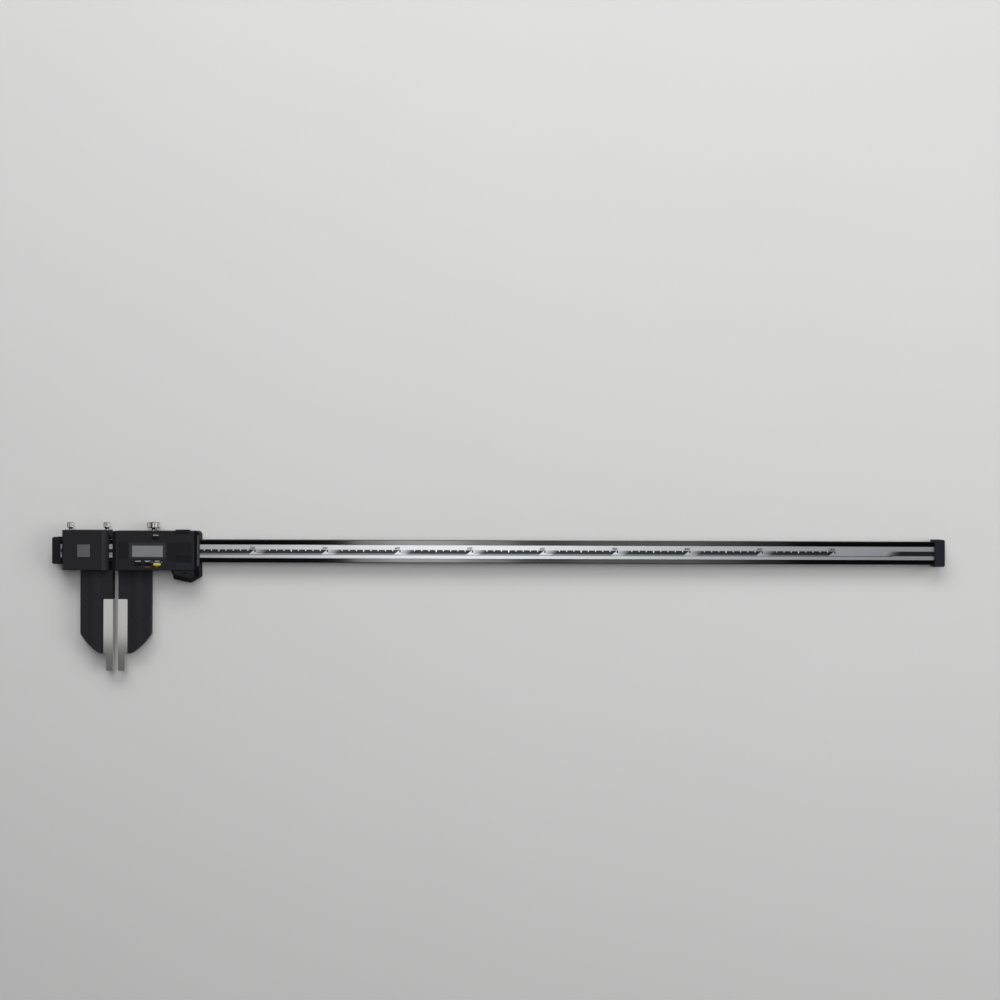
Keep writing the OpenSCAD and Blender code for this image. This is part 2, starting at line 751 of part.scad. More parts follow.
// Jaw, drawn from its measuring face: straight root, curved lower corner, raised rib on both faces
module jaw() {
    z0 = mid_z - jaw_t / 2;
    z1 = mid_z + jaw_t / 2;
    side = jaw_setback + jaw_w;
    difference() {
        intersection() {
            union() {
                box(jaw_setback, side, -jaw_straight, -bottom_y, z0 - rib_h, z1 + rib_h);
                intersection() {
                    box(jaw_setback, side, -jaw_reach, -jaw_straight, z0 - rib_h, z1 + rib_h);
                    rod_z(arc_c[0], arc_c[1], z0 - rib_h - cut, z1 + rib_h + cut, jaw_arc_r, $fn = 96);
                }
            }
            union() {
                box(0, side + cut, -jaw_reach - cut, -bottom_y + cut, z0, z1);
                for (s = [-1, 1]) intersection() {
                    rod_y(rib_u, mid_z + s * (jaw_t / 2 + rib_h - rib_r), -jaw_reach - cut, -bottom_y + cut, rib_r);
                    translate([0, 0, mid_z])
                        box(rib_start, rib_start + rib_w, -jaw_reach - cut, -bottom_y + cut,
                            s > 0 ? 0 : -jaw_t / 2 - rib_h, s > 0 ? jaw_t / 2 + rib_h : 0);
                }
            }
        }
        box(-cut, blade_w + seat_clear, -jaw_reach - cut, -blade_top + seat_clear, z0 - rib_h - cut, z1 + rib_h + cut);
        box(blade_w - cut, blade_w + blade_tongue + seat_clear, blade_tongue_y0 - seat_clear,
            blade_tongue_y1 + seat_clear, mid_z - blade_tongue_t / 2 - seat_clear,
            mid_z + blade_tongue_t / 2 + seat_clear);
        for (y = blade_screw_ys)
            screw_hole_z(blade_screw_u, y, z0 + head_sink, blade_head_r, blade_head_h, blade_screw_r,
                mid_z + blade_tongue_t / 2 - z0);
    }
    difference() {
        box(tongue_u0, tongue_u0 + tongue_len, -bottom_y - seat_clear, -bottom_y + tongue_d,
            mid_z - tongue_t / 2, mid_z + tongue_t / 2);
        for (u = tongue_screw_us)
            rod_z(u, tongue_screw_y, mid_z - tongue_t, mid_z + tongue_t, jaw_screw_r + seat_clear);
    }
}

// Steel blade with its tongue, and the nib for inside measurements under it
module blade() {
    z0 = mid_z - blade_t / 2;
    z1 = mid_z + blade_t / 2;
    difference() {
        union() {
            translate([0, 0, z0]) linear_extrude(blade_t) union() {
                translate([0, -jaw_reach]) square([blade_w, jaw_reach - blade_top - blade_r]);
                translate([0, -blade_top - blade_r - cut]) square([blade_w - blade_r, blade_r + cut]);
                translate([blade_w - blade_r, -blade_top - blade_r]) circle(blade_r);
            }
            box(blade_w - cut, blade_w + blade_tongue, blade_tongue_y0, blade_tongue_y1,
                mid_z - blade_tongue_t / 2, mid_z + blade_tongue_t / 2);
            intersection() {
                box(0, nib_w, -nib_end, -jaw_reach + cut, z0, z1);
                rod_y(nib_w - nib_r, mid_z, -nib_end - cut, -jaw_reach + 2 * cut, nib_r);
            }
        }
        for (y = blade_screw_ys)
            rod_z(blade_screw_u, y, z0 - cut, z1 + cut, blade_screw_r + turn_clear);
    }
}

module jaw_screws(back_z) {
    for (u = tongue_screw_us)
        screw_z(u, tongue_screw_y, back_z + head_sink, jaw_head_r, jaw_head_h, jaw_screw_r,
            mid_z + tongue_t / 2 - back_z - head_sink);
}

module blade_screws() {
    z0 = mid_z - jaw_t / 2;
    for (y = blade_screw_ys)
        screw_z(blade_screw_u, y, z0 + head_sink, blade_head_r, blade_head_h, blade_screw_r,
            mid_z + blade_tongue_t / 2 - z0 - head_sink);
}

module fixed_jaw() {
    place_fixed_jaw() color(carbon) jaw();
}

module fixed_jaw_screws() {
    place_fixed_jaw() color(steel) jaw_screws(0);
}

module fixed_blade() {
    place_fixed_jaw() color(steel) blade();
}

module fixed_blade_screws() {
    place_fixed_jaw() color(steel) blade_screws();
}

module slider_jaw() {
    place_slider() color(carbon) jaw();
}

module slider_jaw_screws() {
    place_slider() color(steel) jaw_screws(back_cover_t);
}

module slider_blade() {
    place_slider() color(steel) blade();
}

module slider_blade_screws() {
    place_slider() color(steel) blade_screws();
}

// Slider frame with the lug that carries the thumb rest
module slider_frame() {
    place_slider() color(coated) difference() {
        union() {
            box(slider_x0, slider_x1, -bottom_y, slider_top, back_cover_t, frame_z);
            box(rest_screw_x - lug_w / 2, rest_screw_x + lug_w / 2, -bottom_y - lug_d, -bottom_y + cut,
                back_cover_t, lug_z1);
        }
        beam_channel(slider_x0, slider_x1);
        rod_y(large_clamp_x, mid_z, channel_y - cut, slider_top + cut, clamp_r + turn_clear);
        for (x = gib_screw_xs) rod_y(x, mid_z, channel_y - cut, slider_top + cut, jaw_screw_r + turn_clear);
        for (p = housing_screw_places)
            screw_hole_z(p[0], p[1], back_cover_t + head_sink, cover_head_r, cover_head_h, cover_screw_r, frame_z);
        for (p = back_screw_places) rod_z(p[0], p[1], back_cover_t - cut, back_cover_t + 3.6, small_screw_r + turn_clear);
        for (y = end_screw_ys) rod_x(y, end_screw_z, slider_x1 - 9, slider_x1 + cut, small_screw_r + turn_clear);
        rod_z(rest_screw_x, rest_screw_y, back_cover_t - cut, lug_z1 + cut, small_screw_r + turn_clear);
        jaw_slot(back_cover_t);
    }
}

module slider_back_cover() {
    place_slider() color(moulded) difference() {
        linear_extrude(back_cover_t) round_rect(slider_x0, slider_x1, -bottom_y, slider_top, back_cover_r);
        for (p = back_screw_places) {
            rod_z(p[0], p[1], -cut, back_cover_t + cut, small_screw_r + seat_clear);
            rod_z(p[0], p[1], -cut, back_cover_t - 0.5, small_screw_head_r + seat_clear);
        }
    }
}

module slider_back_screws() {
    place_slider() color(steel) for (p = back_screw_places)
        screw_z(p[0], p[1], head_sink, small_screw_head_r, back_cover_t - 0.5 - head_sink, small_screw_r, 3.6);
}

module slider_gib() {
    place_slider() color(brass) gib(slider_x0 + 1, slider_x1 - 1);
}

module gib_screws() {
    place_slider() color(steel) for (x = gib_screw_xs) difference() {
        rod_y(x, mid_z, gib_y1, gib_y1 + 6, jaw_screw_r);
        translate([x, gib_y1 + 4.5, mid_z]) rotate([-90, 0, 0]) cylinder(h = 2 * cut, r = 0.8, $fn = 6);
    }
}

module slider_clamp_pad() {
    place_slider() clamp_pad(large_clamp_x);
}

module slider_clamp_screw() {
    place_slider() clamp_screw(large_clamp_x, slider_top, large_neck, large_head_r, large_head_h, large_knurls, boss_h);
}

// Opening in a wiper or end cover that the beam runs through
module beam_window(x0, x1, gap) {
    box(x0 - cut, x1 + cut, -beam_y - gap, beam_y + gap, beam_z0 - gap, face_z + gap);
}

module wiper_left() {
    x0 = -fixed_setback + closed_gap;
    place_slider() color(carbon) difference() {
        box(x0, slider_x0, -bottom_y + wiper_inset, slider_top - wiper_inset, back_cover_t,
            housing_z - housing_chamfer);
        beam_window(x0, slider_x0, wiper_gap);
    }
}

module wiper_right() {
    place_slider() color(carbon) difference() {
        box(slider_x1, slider_x1 + wiper_t, -beam_y - wiper_rim, beam_y + wiper_rim, beam_z0 - wiper_back,
            face_z + wiper_rim);
        beam_window(slider_x1, slider_x1 + wiper_t, wiper_gap);
    }
}

// End cover with its recessed face and the bevelled rib along the outer edge
module slider_end_cover() {
    face = housing_z - end_cover_drop;
    rib_y0 = -bottom_y + end_rib_inset;
    rib_y1 = slider_top - end_rib_inset;
    place_slider() color(moulded) difference() {
        union() {
            translate([0, 0, back_cover_t]) linear_extrude(face - back_cover_t) difference() {
                translate([slider_x1, -bottom_y]) square([end_cover_len, bottom_y + slider_top]);
                translate([end_x1 - end_corner_r, slider_top - end_corner_r]) difference() {
                    square(end_corner_r + cut);
                    circle(end_corner_r);
                }
            }
            along_y(rib_y0, rib_y1) polygon([[end_x1 - end_rib_w, face - cut], [end_x1, face - cut],
                [end_x1, face + end_rib_h / 4], [end_x1 - end_rib_w / 3, face + end_rib_h],
                [end_x1 - end_rib_w, face + end_rib_h]]);
        }
        beam_window(slider_x1, end_x1, 0.5);
        box(slider_x1 - cut, slider_x1 + wiper_t + seat_clear, -beam_y - wiper_rim - seat_clear,
            beam_y + wiper_rim + seat_clear, beam_z0 - wiper_back - seat_clear,
            face_z + wiper_rim + seat_clear);
        for (y = end_screw_ys) {
            rod_x(y, end_screw_z, slider_x1 - cut, end_x1 + cut, small_screw_r + seat_clear);
            rod_x(y, end_screw_z, end_x1 - small_screw_head_h - head_sink, end_x1 + cut,
                small_screw_head_r + seat_clear);
        }
    }
}

module end_cover_screws() {
    place_slider() color(steel) for (y = end_screw_ys) difference() {
        union() {
            rod_x(y, end_screw_z, slider_x1 - 8, end_x1 - head_sink, small_screw_r);
            rod_x(y, end_screw_z, end_x1 - head_sink - small_screw_head_h, end_x1 - head_sink, small_screw_head_r);
        }
        translate([end_x1 - head_sink - 0.7, y, end_screw_z]) rotate([0, 90, 0]) cylinder(h = cut, r = 0.8, $fn = 6);
    }
}

// Everything outside a plane that leans inwards from the edge a to b, by the width over the face's height
module slope_cut(a, b, width) {
    d = b - a;
    rise = housing_z - rest_edge_z;
    translate([a[0], a[1], rest_edge_z]) rotate([0, 0, atan2(d[1], d[0])]) rotate([-atan2(width, rise), 0, 0])
        box(-40, norm(d) + 40, -30, 0, -2 * cut, rise * 2);
}

// V grooves up that plane
module slope_grooves(a, b, width, n) {
    d = b - a;
    rise = housing_z - rest_edge_z;
    side = rest_groove * sqrt(2);
    translate([a[0], a[1], rest_edge_z]) rotate([0, 0, atan2(d[1], d[0])])
        rotate([-atan2(width, rise), 0, 0]) for (i = [0:n - 1])
            translate([norm(d) * (i + 0.5) / n, 0, -3]) rotate([0, 0, 45])
                translate([-side / 2, -side / 2, 0]) cube([side, side, rise * 2]);
}

// Thumb rest: a solid foot under sloping finger faces, with grooves across the left one
module thumb_rest() {
    corner = [rest_x0 + 2.7, rest_y - 6.4];
    place_slider() color(moulded) difference() {
        linear_extrude(housing_z) polygon([[rest_x0, rest_y], [rest_x0, rest_y - 3], corner, rest_left, rest_tip,
            rest_right, [rest_x1, rest_y]]);
        slope_cut(corner, rest_left, rest_slope * 0.7);
        slope_cut(rest_left, rest_tip, rest_slope);
        slope_cut(rest_tip, rest_right, rest_slope * 0.7);
        box(slider_x1 + 0.4, rest_x1 + cut, -rest_tip_y, rest_y + cut, housing_z - end_cover_drop, housing_z + cut);
        slope_grooves(rest_left, rest_tip, rest_slope, rest_ridges);
        box(rest_screw_x - lug_w / 2 - seat_clear, rest_screw_x + lug_w / 2 + seat_clear,
            rest_y - lug_d - seat_clear, rest_y + cut, -cut, lug_z1 + seat_clear);
        rod_z(rest_screw_x, rest_screw_y, 0, housing_z + cut, small_screw_r + seat_clear);
        rod_z(rest_screw_x, rest_screw_y, housing_z - small_screw_head_h - head_sink, housing_z + cut,
            rest_head_r + seat_clear);
    }
}

module thumb_rest_screw() {
    z1 = housing_z - head_sink;
    place_slider() color(steel) difference() {
        union() {
            rod_z(rest_screw_x, rest_screw_y, back_cover_t + 1, z1 - small_screw_head_h, small_screw_r);
            rod_z(rest_screw_x, rest_screw_y, z1 - small_screw_head_h, z1, rest_head_r);
        }
        translate([rest_screw_x, rest_screw_y, z1 - 0.7]) cylinder(h = cut, r = 0.8, $fn = 6);
    }
}

// Oval with round ends
module oval(w, h) {
    square([w - h, h], center = true);
    for (s = [-1, 1]) translate([s * (w - h) / 2, 0]) circle(h / 2);
}

// Outline of the dark panel: it passes round the battery lid on two sides
module panel_outline(gap) {
    polygon([
        [panel_x0 + gap, panel_top - gap], [panel_x1 - gap, panel_top - gap],
        [panel_x1 - gap, lid_y + lid_h + 0.6 + gap], [lid_x - 0.6 - gap, lid_y + lid_h + 0.6 + gap],
        [lid_x - 0.6 - gap, lid_y + lid_h - lid_ramp + gap], [display_x + bezel_w / 2, panel_bottom + gap],
        [panel_x0 + gap, panel_bottom + gap]
    ]);
}

// Pocket for the bezel, measured from the middle of the window
module bezel_seat(z0, z1) {
    box(-bezel_w / 2 - seat_clear, bezel_w / 2 + seat_clear, bezel_dy - bezel_h / 2 - seat_clear,
        bezel_dy + bezel_h / 2 + seat_clear, z0, z1);
}

// Housing: shell over the electronics bay, solid round the battery well and the data port
module display_housing() {
    place_slider() color(coated) difference() {
        union() {
            difference() {
                front_chamfered(slider_x0, slider_x1, -bottom_y, slider_top, frame_z, housing_z, housing_chamfer);
                box(slider_x0 + housing_wall, bay_x1, -bottom_y + housing_wall, slider_top - housing_wall,
                    frame_z - cut, inner_z);
            }
            for (i = [0:2]) rod_z(housing_screw_places[i][0], housing_screw_places[i][1], frame_z, inner_z + 0.5, boss_r);
            for (p = post_places) rod_z(p[0], p[1], board_z1, inner_z + 0.5, post_r);
        }
        for (p = housing_screw_places) rod_z(p[0], p[1], frame_z - cut, inner_z - 1.4, cover_screw_r + turn_clear);
        for (p = post_places) rod_z(p[0], p[1], board_z1 - cut, inner_z - 0.6, small_screw_r + turn_clear);
        translate([0, 0, housing_z - panel_recess]) linear_extrude(panel_recess + cut) panel_outline(0);
        translate([display_x, display_y, 0]) {
            bezel_seat(bezel_z0, housing_z + cut);
            box(-window_w / 2 + window_ledge, window_w / 2 - window_ledge, -window_h / 2 + window_ledge,
                window_h / 2 - window_ledge, inner_z - cut, housing_z + cut);
        }
        for (p = button_places) translate([p[0], p[1], inner_z - cut])
            linear_extrude(front_wall + 2 * cut) oval(button_w + 2 * lid_clear, button_h + 2 * lid_clear);
        box(lid_x - lid_clear, lid_x + lid_w + lid_clear, lid_y - lid_clear, lid_y + lid_h + lid_clear,
            lid_seat_z, housing_z + cut);
        rod_z(cell_x, cell_y, cell_z0 - contact_t, housing_z, cell_r + 0.3);
        box(port_x - lid_clear, port_x + port_w + lid_clear, slider_top - port_d - lid_clear, slider_top + cut,
            frame_z - cut, housing_z + cut);
        box(port_in_x - seat_clear, port_in_x + port_in_w + seat_clear, port_in_y, slider_top,
            frame_z + 1.4, housing_z - 3.4);
    }
}

module housing_screws() {
    place_slider() color(steel) for (p = housing_screw_places)
        screw_z(p[0], p[1], back_cover_t + head_sink, cover_head_r, cover_head_h, cover_screw_r,
            inner_z - 1.8 - back_cover_t - head_sink - cover_head_h);
}

module display_panel() {
    place_slider() color(dark_panel) translate([0, 0, housing_z - panel_recess]) difference() {
        linear_extrude(panel_t) panel_outline(seat_clear);
        translate([display_x, display_y, 0]) bezel_seat(-cut, cut);
    }
}

module lcd_bezel() {
    place_slider() color(coated) translate([display_x, display_y, 0]) difference() {
        front_chamfered(-bezel_w / 2, bezel_w / 2, bezel_dy - bezel_h / 2, bezel_dy + bezel_h / 2, bezel_z0,
            housing_z + 0.2, 0.4);
        box(-window_w / 2 - turn_clear, window_w / 2 + turn_clear, -window_h / 2 - turn_clear,
            window_h / 2 + turn_clear, bezel_z0 - cut, housing_z + cut);
    }
}

module lcd_window() {
    place_slider() color([0.46, 0.47, 0.47]) translate([display_x, display_y, 0])
        box(-window_w / 2, window_w / 2, -window_h / 2, window_h / 2, bezel_z0, bezel_z0 + window_t);
}

// Liquid crystal cell with its viewing frame, standing on the board
module lcd_module() {
    w = window_w + 2.4;
    h = window_h + 2.4;
    place_slider() color([0.5, 0.52, 0.48]) translate([display_x, display_y, 0]) difference() {
        box(-w / 2, w / 2, -h / 2, h / 2, board_z1, inner_z - 0.1);
        box(-window_w / 2 + 1, window_w / 2 - 1, -window_h / 2 + 1, window_h / 2 - 1, inner_z - 0.5, inner_z);
    }
}

module circuit_board() {
    place_slider() color([0.1, 0.3, 0.16]) difference() {
        box(board_x0, board_x1, -bottom_y + housing_wall + 0.6, slider_top - housing_wall - 0.6, board_z0, board_z1);
        for (i = [0:2]) {
            p = housing_screw_places[i];
            notch = boss_r + 0.5;
            box(i == 1 ? p[0] - notch : board_x0 - cut, i == 1 ? board_x1 + cut : p[0] + notch,
                i == 2 ? -bottom_y : p[1] - notch, i == 2 ? p[1] + notch : slider_top, board_z0 - cut, board_z1 + cut);
        }
        for (p = post_places) rod_z(p[0], p[1], board_z0 - cut, board_z1 + cut, small_screw_r + seat_clear);
    }
}

module board_screws() {
    place_slider() color(steel) for (p = post_places)
        screw_z(p[0], p[1], board_z0 - small_screw_head_h, small_screw_head_r, small_screw_head_h, small_screw_r,
            board_t + 2.4);
}

// Detector over the scale, hung from the board on a frame
module readhead() {
    z0 = face_z + readhead_gap;
    place_slider() color([0.12, 0.24, 0.3]) translate([display_x, 0, 0]) {
        box(-readhead_w / 2, readhead_w / 2, -readhead_h / 2, readhead_h / 2, z0, z0 + board_t);
        difference() {
            box(-readhead_w / 2, readhead_w / 2, -readhead_h / 2, readhead_h / 2, z0 + board_t - 0.01, board_z0);
            box(-readhead_w / 2 + 2, readhead_w / 2 - 2, -readhead_h / 2 + 2, readhead_h / 2 - 2, z0 + board_t,
                board_z0 + cut);
        }
    }
}

module key_switches() {
    place_slider() color([0.3, 0.3, 0.32]) for (p = button_places) translate([p[0], p[1], 0])
        box(-switch_w / 2, switch_w / 2, -switch_w / 3, switch_w / 3, board_z1, board_z1 + switch_t);
}

// Oval key with the flange that keeps it behind the front wall
module button(p, c) {
    place_slider() color(c) translate([p[0], p[1], 0]) {
        translate([0, 0, inner_z - turn_clear - flange_t]) linear_extrude(flange_t)
            oval(button_w + 2 * flange, button_h + 2 * flange);
        translate([0, 0, inner_z - turn_clear - flange_t]) linear_extrude(front_wall + flange_t + button_proud + turn_clear)
            oval(button_w, button_h);
    }
}

module origin_button() {
    button(button_places[0], carbon);
}

module power_button() {
    button(button_places[1], carbon);
}

module preset_button() {
    button(button_places[2], carbon);
}

module zero_button() {
    button(button_places[3], [0.86, 0.78, 0.16]);
}

module battery() {
    place_slider() color(silver) {
        rod_z(cell_x, cell_y, cell_z0 + 0.6, cell_z0 + cell_t, cell_r);
        rod_z(cell_x, cell_y, cell_z0, cell_z0 + 0.6, cell_r - 0.8);
    }
}

module battery_contact() {
    place_slider() color(brass) rod_z(cell_x, cell_y, cell_z0 - contact_t, cell_z0, cell_r - 2);
}

// Lid with a ramp for the finger along its upper part
module battery_lid() {
    z1 = housing_z + lid_proud;
    place_slider() color(coated) along_x(lid_x, lid_x + lid_w)
        polygon([[lid_y, z1 - lid_t], [lid_y, z1], [lid_y + lid_h - lid_ramp, z1],
            [lid_y + lid_h - lid_ramp, z1 - 0.2], [lid_y + lid_h, z1 - lid_ramp_d], [lid_y + lid_h, z1 - lid_t]]);
}

// Connector block with its socket and a row of contacts
module data_port() {
    y1 = slider_top - port_d - 0.5;
    z0 = frame_z + 1.5;
    z1 = housing_z - 3.5;
    place_slider() color(dark_panel) difference() {
        box(port_in_x, port_in_x + port_in_w, port_in_y + seat_clear, y1, z0, z1);
        box(port_in_x + 1.2, port_in_x + port_in_w - 1.2, y1 - 3, y1 + cut, z0 + 1, z1 - 1);
    }
    place_slider() color(brass) for (i = [0:4])
        translate([port_in_x + port_in_w / 2 + (i - 2) * 1.9, 0, (z0 + z1) / 2])
            box(-0.4, 0.4, y1 - 3.2, y1 - 0.6, -0.3, 0.3);
}

module data_port_cover() {
    place_slider() color(moulded)
        front_chamfered(port_x, port_x + port_w, slider_top - port_d, slider_top + port_proud,
            frame_z + seat_clear, housing_z, 0.6);
}

beam();
scale_plate();
encoder_strip();
end_plug_left();
end_plug_right();
end_cap_left();
end_cap_right();
end_cap_screws();
fixed_frame();
fixed_cover();
fixed_cover_screws();
badge_plate();
fixed_gib();
fixed_clamp_pad_left();
fixed_clamp_pad_right();
fixed_clamp_screw_left();
fixed_clamp_screw_right();
fixed_jaw();
fixed_jaw_screws();
fixed_blade();
fixed_blade_screws();
slider_frame();
slider_back_cover();
slider_back_screws();
slider_gib();
gib_screws();
slider_clamp_pad();
slider_clamp_screw();
wiper_left();
wiper_right();
slider_jaw();
slider_jaw_screws();
slider_blade();
slider_blade_screws();
slider_end_cover();
end_cover_screws();
thumb_rest();
thumb_rest_screw();
display_housing();
housing_screws();
display_panel();
lcd_bezel();
lcd_window();
lcd_module();
circuit_board();
board_screws();
readhead();
key_switches();
origin_button();
power_button();
preset_button();
zero_button();
battery();
battery_contact();
battery_lid();
data_port();
data_port_cover();
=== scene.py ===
# %% [markdown]
# # Dressing a long digital caliper
# The caliper lies on its back on a pale floor and the camera looks straight down at it. Every solid piece,
# such as the beam, the two jaws and the display slider, is already modelled and comes in from the frame.
# This script gives each one its finish and adds what is only printed on the real tool: the graduation,
# its numbers and the words beside the keys.

# %% Load the frame
import math

import bmesh
import bpy
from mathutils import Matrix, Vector


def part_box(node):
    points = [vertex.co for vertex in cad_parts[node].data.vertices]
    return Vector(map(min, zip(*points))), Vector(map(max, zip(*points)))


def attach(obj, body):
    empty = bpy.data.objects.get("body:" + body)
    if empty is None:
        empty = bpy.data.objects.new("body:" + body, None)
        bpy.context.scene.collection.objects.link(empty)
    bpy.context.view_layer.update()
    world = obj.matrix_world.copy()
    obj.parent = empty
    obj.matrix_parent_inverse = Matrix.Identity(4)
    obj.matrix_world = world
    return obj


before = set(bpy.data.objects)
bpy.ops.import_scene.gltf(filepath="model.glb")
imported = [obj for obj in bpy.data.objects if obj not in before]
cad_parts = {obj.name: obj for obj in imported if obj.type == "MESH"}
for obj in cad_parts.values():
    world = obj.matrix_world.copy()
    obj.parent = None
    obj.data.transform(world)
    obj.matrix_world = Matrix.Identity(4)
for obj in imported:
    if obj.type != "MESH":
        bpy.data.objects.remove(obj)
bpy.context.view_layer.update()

# %% [markdown]
# All sizes below are in millimetres from three places that anyone can find on the tool: the measuring face
# of the fixed jaw, the middle of the beam and the table. The frame knows where they are, so nothing has to
# be fitted by eye, and one helper turns such a size into a point in metres.

# %% Places on the caliper
beam_low, beam_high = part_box("beam")
face_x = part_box("fixed_blade")[1].x
mid_y = (beam_low.y + beam_high.y) / 2
face_mm = face_x * 1000
mid_mm = mid_y * 1000
plate_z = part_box("scale_plate")[1].z * 1000
front_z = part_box("display_housing")[1].z * 1000
cover_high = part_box("fixed_cover")[1] * 1000
cap_x = (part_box("end_cap_right")[0].x - face_x) * 1000
slider_x = (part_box("slider_blade")[0].x - face_x) * 1000


def at(x, y, z):
    """A point in metres from a place in millimetres."""
    return Vector((face_x + x / 1000, mid_y + y / 1000, z / 1000))


print("plate at", round(plate_z, 2), "front at", round(front_z, 2), "opening", round(slider_x, 2))

# %% [markdown]
# Shader maths reads best as plain arithmetic. A wire holds one socket of a material, and adding or
# multiplying wires adds the Math nodes that do the same. Colours go through Mix, because a Math node would
# turn them grey, and every other node comes from one method.


# %% A wire in a material
class Wire:
    """One socket of a node tree, with the operators that its values need."""

    def __init__(self, tree, socket=None):
        self.tree = tree
        self.socket = socket

    def node(self, kind, settings=None, sockets=None, out=0):
        """Any node: its settings first, then the values or wires of its sockets."""
        made = self.tree.nodes.new(kind)
        for name, value in (settings or {}).items():
            setattr(made, name, value)
        for name, value in (sockets or {}).items():
            self.feed(made.inputs[name], value)
        return Wire(self.tree, made.outputs[out])

    def feed(self, target, value):
        """Puts a value or a wire on a socket."""
        if isinstance(value, Wire):
            self.tree.links.new(value.socket, target)
        else:
            target.default_value = value

    def maths(self, operation, *values):
        """A Math node on values and wires."""
        return self.node("ShaderNodeMath", {"operation": operation}, dict(enumerate(values)))

    def mix(self, low, high):
        """The colour low where this wire is 0 and high where it is 1."""
        sockets = {0: self, 6: low, 7: high}
        return self.node("ShaderNodeMix", {"data_type": "RGBA"}, sockets, out=2)

    def smooth(self, start, end):
        """Rises from 0 to 1 between start and end."""
        sockets = {"Value": self, "From Min": start, "From Max": end}
        return self.node("ShaderNodeMapRange", {"interpolation_type": "SMOOTHSTEP"}, sockets)

    def clamp(self):
        """Held between 0 and 1."""
        return self.maths("MINIMUM", self.maths("MAXIMUM", self, 0.0), 1.0)

    def floor(self):
        """The whole number below."""
        return self.maths("FLOOR", self)

    def __add__(self, other):
        return self.maths("ADD", self, other)

    def __sub__(self, other):
        return self.maths("SUBTRACT", self, other)

    def __rsub__(self, other):
        return self.maths("SUBTRACT", other, self)

    def __mul__(self, other):
        return self.maths("MULTIPLY", self, other)

    def __truediv__(self, other):
        return self.maths("DIVIDE", self, other)

    def __mod__(self, other):
        return self.maths("FLOORED_MODULO", self, other)

    def __lt__(self, other):
        return self.maths("LESS_THAN", self, other)

    def __gt__(self, other):
        return self.maths("GREATER_THAN", self, other)


print("wire ready")

# %% [markdown]
# A finish starts from the shader that Blender gives a new material. What is the same all over, such as
# the metal content or the clear coat, is set on the shader itself. What changes over the surface is worked
# out from the piece's own coordinates, so the grain stays on the piece when it moves.

# %% Start of a finish
finishes = {}


def finish(name, colour, roughness, metallic=0.0, coat=0.0, coat_roughness=0.1, specular=0.5):
    """A new material: its shader and the wire of the piece's own coordinates in metres."""
    made = bpy.data.materials.new(name)
    made.use_nodes = True
    shader = made.node_tree.nodes["Principled BSDF"]
    shader.inputs["Base Color"].default_value = (*colour, 1)
    shader.inputs["Roughness"].default_value = roughness
    shader.inputs["Metallic"].default_value = metallic
    shader.inputs["Coat Weight"].default_value = coat
    shader.inputs["Coat Roughness"].default_value = coat_roughness
    shader.inputs["Specular IOR Level"].default_value = specular
    finishes[name] = made
    return shader, Wire(made.node_tree).node("ShaderNodeTexCoord", out=3)


def axes(here):
    """The three coordinates as wires, in millimetres."""
    split = here.node("ShaderNodeSeparateXYZ", {}, {0: here})
    outputs = split.socket.node.outputs
    return [Wire(here.tree, outputs[i]) * 1000 for i in range(3)]


def grain(here, scale, detail=2.0, stretch=(1, 1, 1)):
    """Noise from 0 to 1, with features about 1 / scale metres across, finer where stretch is large."""
    sized = here.node("ShaderNodeVectorMath", {"operation": "MULTIPLY"}, {0: here, 1: stretch})
    return here.node("ShaderNodeTexNoise", {}, {"Vector": sized, "Scale": scale, "Detail": detail})


def scaled(colour, factor):
    """A colour made darker or lighter."""
    return tuple(channel * factor for channel in colour)


def paint(shader, share, low, high):
    """The base colour runs from low to high as the share goes from 0 to 1."""
    share.feed(shader.inputs["Base Color"], share.mix((*low, 1), (*high, 1)))


def bump(shader, height, strength, distance):
    """Feeds a height to the shader's normal."""
    sockets = {"Strength": strength, "Distance": distance, "Height": height}
    height.feed(shader.inputs["Normal"], height.node("ShaderNodeBump", {}, sockets))


print("finish helpers ready")

# %% [markdown]
# The beam is a carbon-fibre tube under a thick clear coat. Its twill shows only faintly: bundles of fibre
# about 2 mm wide pass over two and under two of the others, and each row steps along by one. Counting the
# bundles in both directions and taking the remainder by four gives just that pattern. The jaws are the same
# laminate without the coat.

# %% Carbon twill
bundle_width = 2.2


def twill(here):
    """1 where the bundle on top runs along the beam and 0 where it runs across."""
    x, y, z = axes(here)
    along = (x / bundle_width).floor()
    across = ((y + z) / bundle_width).floor()
    return ((along + across) % 4.0) < 2.0


def carbon(name, dark, light, roughness, coat, coat_roughness, specular):
    """Carbon-fibre laminate: dark fibres in resin, more or less polished."""
    shader, here = finish(
        name, dark, roughness, coat=coat, coat_roughness=coat_roughness, specular=specular
    )
    over = twill(here)
    cloud = grain(here, 60.0)
    paint(shader, over * 0.6 + cloud * 0.4, dark, light)
    over.feed(shader.inputs["Roughness"], over * 0.08 + roughness)
    bump(shader, over * 0.5 + grain(here, 1500.0) * 0.5, 0.05, 0.0002)


carbon(
    "beam_carbon",
    (0.0006, 0.0006, 0.0008),
    (0.0016, 0.0016, 0.002),
    roughness=0.35,
    coat=1.0,
    coat_roughness=0.08,
    specular=0.0,
)
carbon(
    "jaw_carbon",
    (0.0187, 0.0183, 0.0206),
    (0.0217, 0.0213, 0.0236),
    roughness=0.5,
    coat=0.0,
    coat_roughness=0.2,
    specular=0.04,
)
print("carbon finishes:", len(finishes))

# %% [markdown]
# The two frames are alloy with a fine black coat, and the display housing, caps and keys are moulded. Both
# look plain from afar. Close up the coat is sandy and the mouldings have a soft spark-eroded texture, and
# both drift a little in tone.


